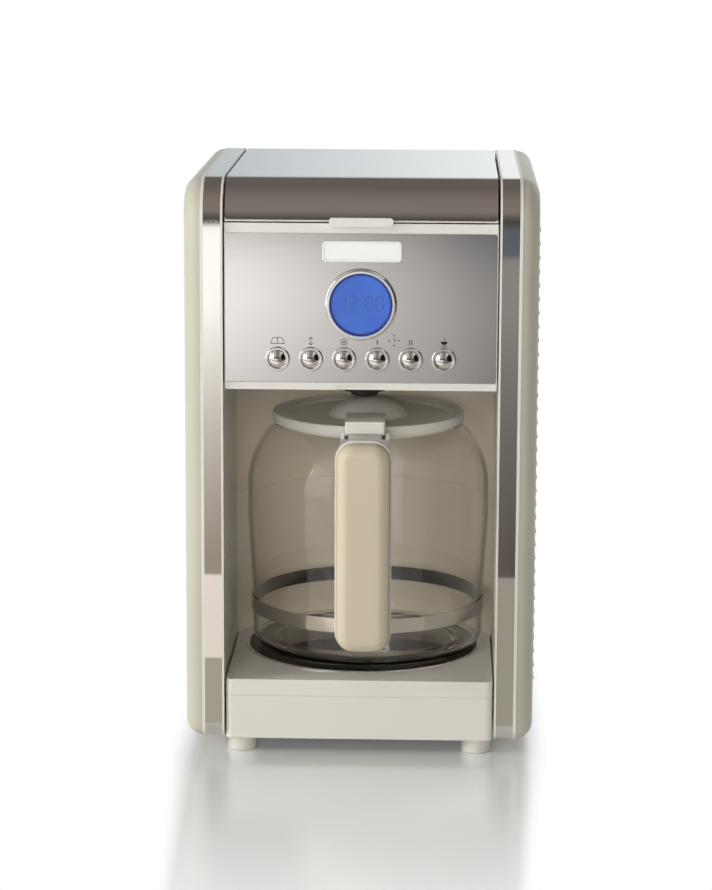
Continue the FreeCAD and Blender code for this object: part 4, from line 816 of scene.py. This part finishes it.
# reflector cards before the machine: a left and a right colour at the far and near end, or plain for both
cardBase = {"level": 0.012, "awaySpan": (-2.0, -0.6)}
cards = {
    "cardWide": {"low": (-1.6, -2.95), "high": (0.05, -0.54), "fade": (-0.30, 0.05),
                 "far": ((1.30, 1.29, 1.28), (0.56, 0.55, 0.54)),
                 "near": ((0.50, 0.43, 0.37), (0.26, 0.225, 0.20))},
    "cardRight": {"low": (0.05, -2.55), "high": (1.6, -0.54), "fade": (0.05, 0.115),
                  "far": ((0.54, 0.53, 0.52), (0.31, 0.30, 0.285)),
                  "near": ((0.24, 0.21, 0.19), (0.12, 0.10, 0.095))},
    "cardDark": {"low": (0.05, -2.95), "high": (1.6, -2.55), "fade": (0.05, 0.20),
                 "plain": ((0.16, 0.18, 0.21), (0.11, 0.14, 0.18))},
    "cardNear": {"low": (-1.6, -0.54), "high": (1.6, -0.29), "fade": (-0.16, 0.10),
                 "plain": ((1.0, 0.92, 0.85), (0.40, 0.37, 0.32))},
    # this card's dim colour is a painted shadow: it stands in for the shaded floor just before the machine,
    # as reflections show it
    "cardFoot": {"low": (-1.6, -0.29), "high": (1.6, -0.13), "fade": (-0.16, 0.10),
                 "plain": ((0.47, 0.44, 0.37), (0.40, 0.38, 0.33))},
}


def stageCard(name, mesh, finish):
    # a card that only reflections show
    card = stageObject(name, mesh, finish)
    card.visible_camera = False
    card.visible_diffuse = False
    card.visible_transmission = False
    card.visible_shadow = False


def makeCard(name, ownLook):
    look = {**cardBase, **ownLook}
    (left, front), (right, back) = look["low"], look["high"]
    mesh = rectangle(right - left, back - front)
    moveMesh(mesh, ((left + right) / 2, (front + back) / 2, look["level"]))
    finish, tree, shader, place = startFinish(name)
    tree.nodes.remove(shader)
    spot = put(tree, "ShaderNodeSeparateXYZ", {"Vector": place}).outputs
    across = ramp(tree, spot["X"], look["fade"], smooth=True)
    pairs = [look["plain"]] if "plain" in look else [look["far"], look["near"]]
    tones = [blendColours(tree, across, opaque(leftTone), opaque(rightTone))
             for leftTone, rightTone in pairs]
    if len(tones) > 1:
        tones = [blendColours(tree, ramp(tree, spot["Y"], look["awaySpan"]), *tones)]
    shine = put(tree, "ShaderNodeEmission", {"Color": tones[0]})
    under = put(tree, "ShaderNodeNewGeometry").outputs["Backfacing"]        # clear from below
    thin = put(tree, "ShaderNodeBsdfTransparent")
    showSurface(tree, blendShaders(tree, under, shine.outputs[0], thin.outputs[0]))
    stageCard(name, mesh, finish)


for name, look in cards.items():
    makeCard(name, look)

# upright panels beside the machine, for the highlights and dark edges of chrome, glass and the handle
sidePanels = {
    "softPanel": {"place": (-1.15, -1.05, 0.62), "size": (1.0, 1.3), "level": 1.9},
    "blackFlag": {"place": (0.75, -0.95, 0.45), "size": (1.1, 1.5), "level": 0.01},
}
panelTone = (1.0, 0.99, 0.97, 1.0)


def makeSidePanel(name, look):
    mesh = rectangle(*look["size"])
    turnMesh(mesh, math.pi / 2, "Y")
    moveMesh(mesh, look["place"])
    finish, tree, shader = startFinish(name)[:3]
    tree.nodes.remove(shader)
    shine = put(tree, "ShaderNodeEmission", {"Color": panelTone, "Strength": look["level"]})
    showSurface(tree, shine.outputs[0])
    stageCard(name, mesh, finish)


for name, look in sidePanels.items():
    makeSidePanel(name, look)

# soft lamps: energy in watts, size in metres, each aimed at the machine and left out of reflections
lamps = {
    "overheadSoft": {"place": (-0.1, 0.9, 1.75), "size": (1.4, 1.2), "energy": 7.0},
    "keySoft": {"place": (-2.4, -0.72, 0.85), "size": (1.2, 1.3), "energy": 52.0},
    "rearSoft": {"place": (1.6, 2.2, 1.0), "size": (1.0, 1.0), "energy": 30.0},
    "highFront": {"place": (-0.5, -1.5, 1.75), "size": (1.0, 0.8), "energy": 6.0},
    "frontFill": {"place": (-0.30, -2.4, 0.58), "size": (1.4, 1.0), "energy": 27.5},
}
lampTarget = Vector((0.0, -0.02, 0.17))


def makeLamp(name, look):
    data = bpy.data.lights.new(name, "AREA")
    data.shape = "RECTANGLE"
    data.size, data.size_y = look["size"]
    data.energy = look["energy"]
    lamp = placeObject(name, data)
    lamp.location = look["place"]
    aim = lampTarget - Vector(look["place"])
    lamp.rotation_euler = aim.to_track_quat("-Z", "Y").to_euler()
    lamp.visible_camera = False
    lamp.visible_glossy = False


for name, look in lamps.items():
    makeLamp(name, look)
print("studio made")

scene.view_settings.view_transform = "Standard"
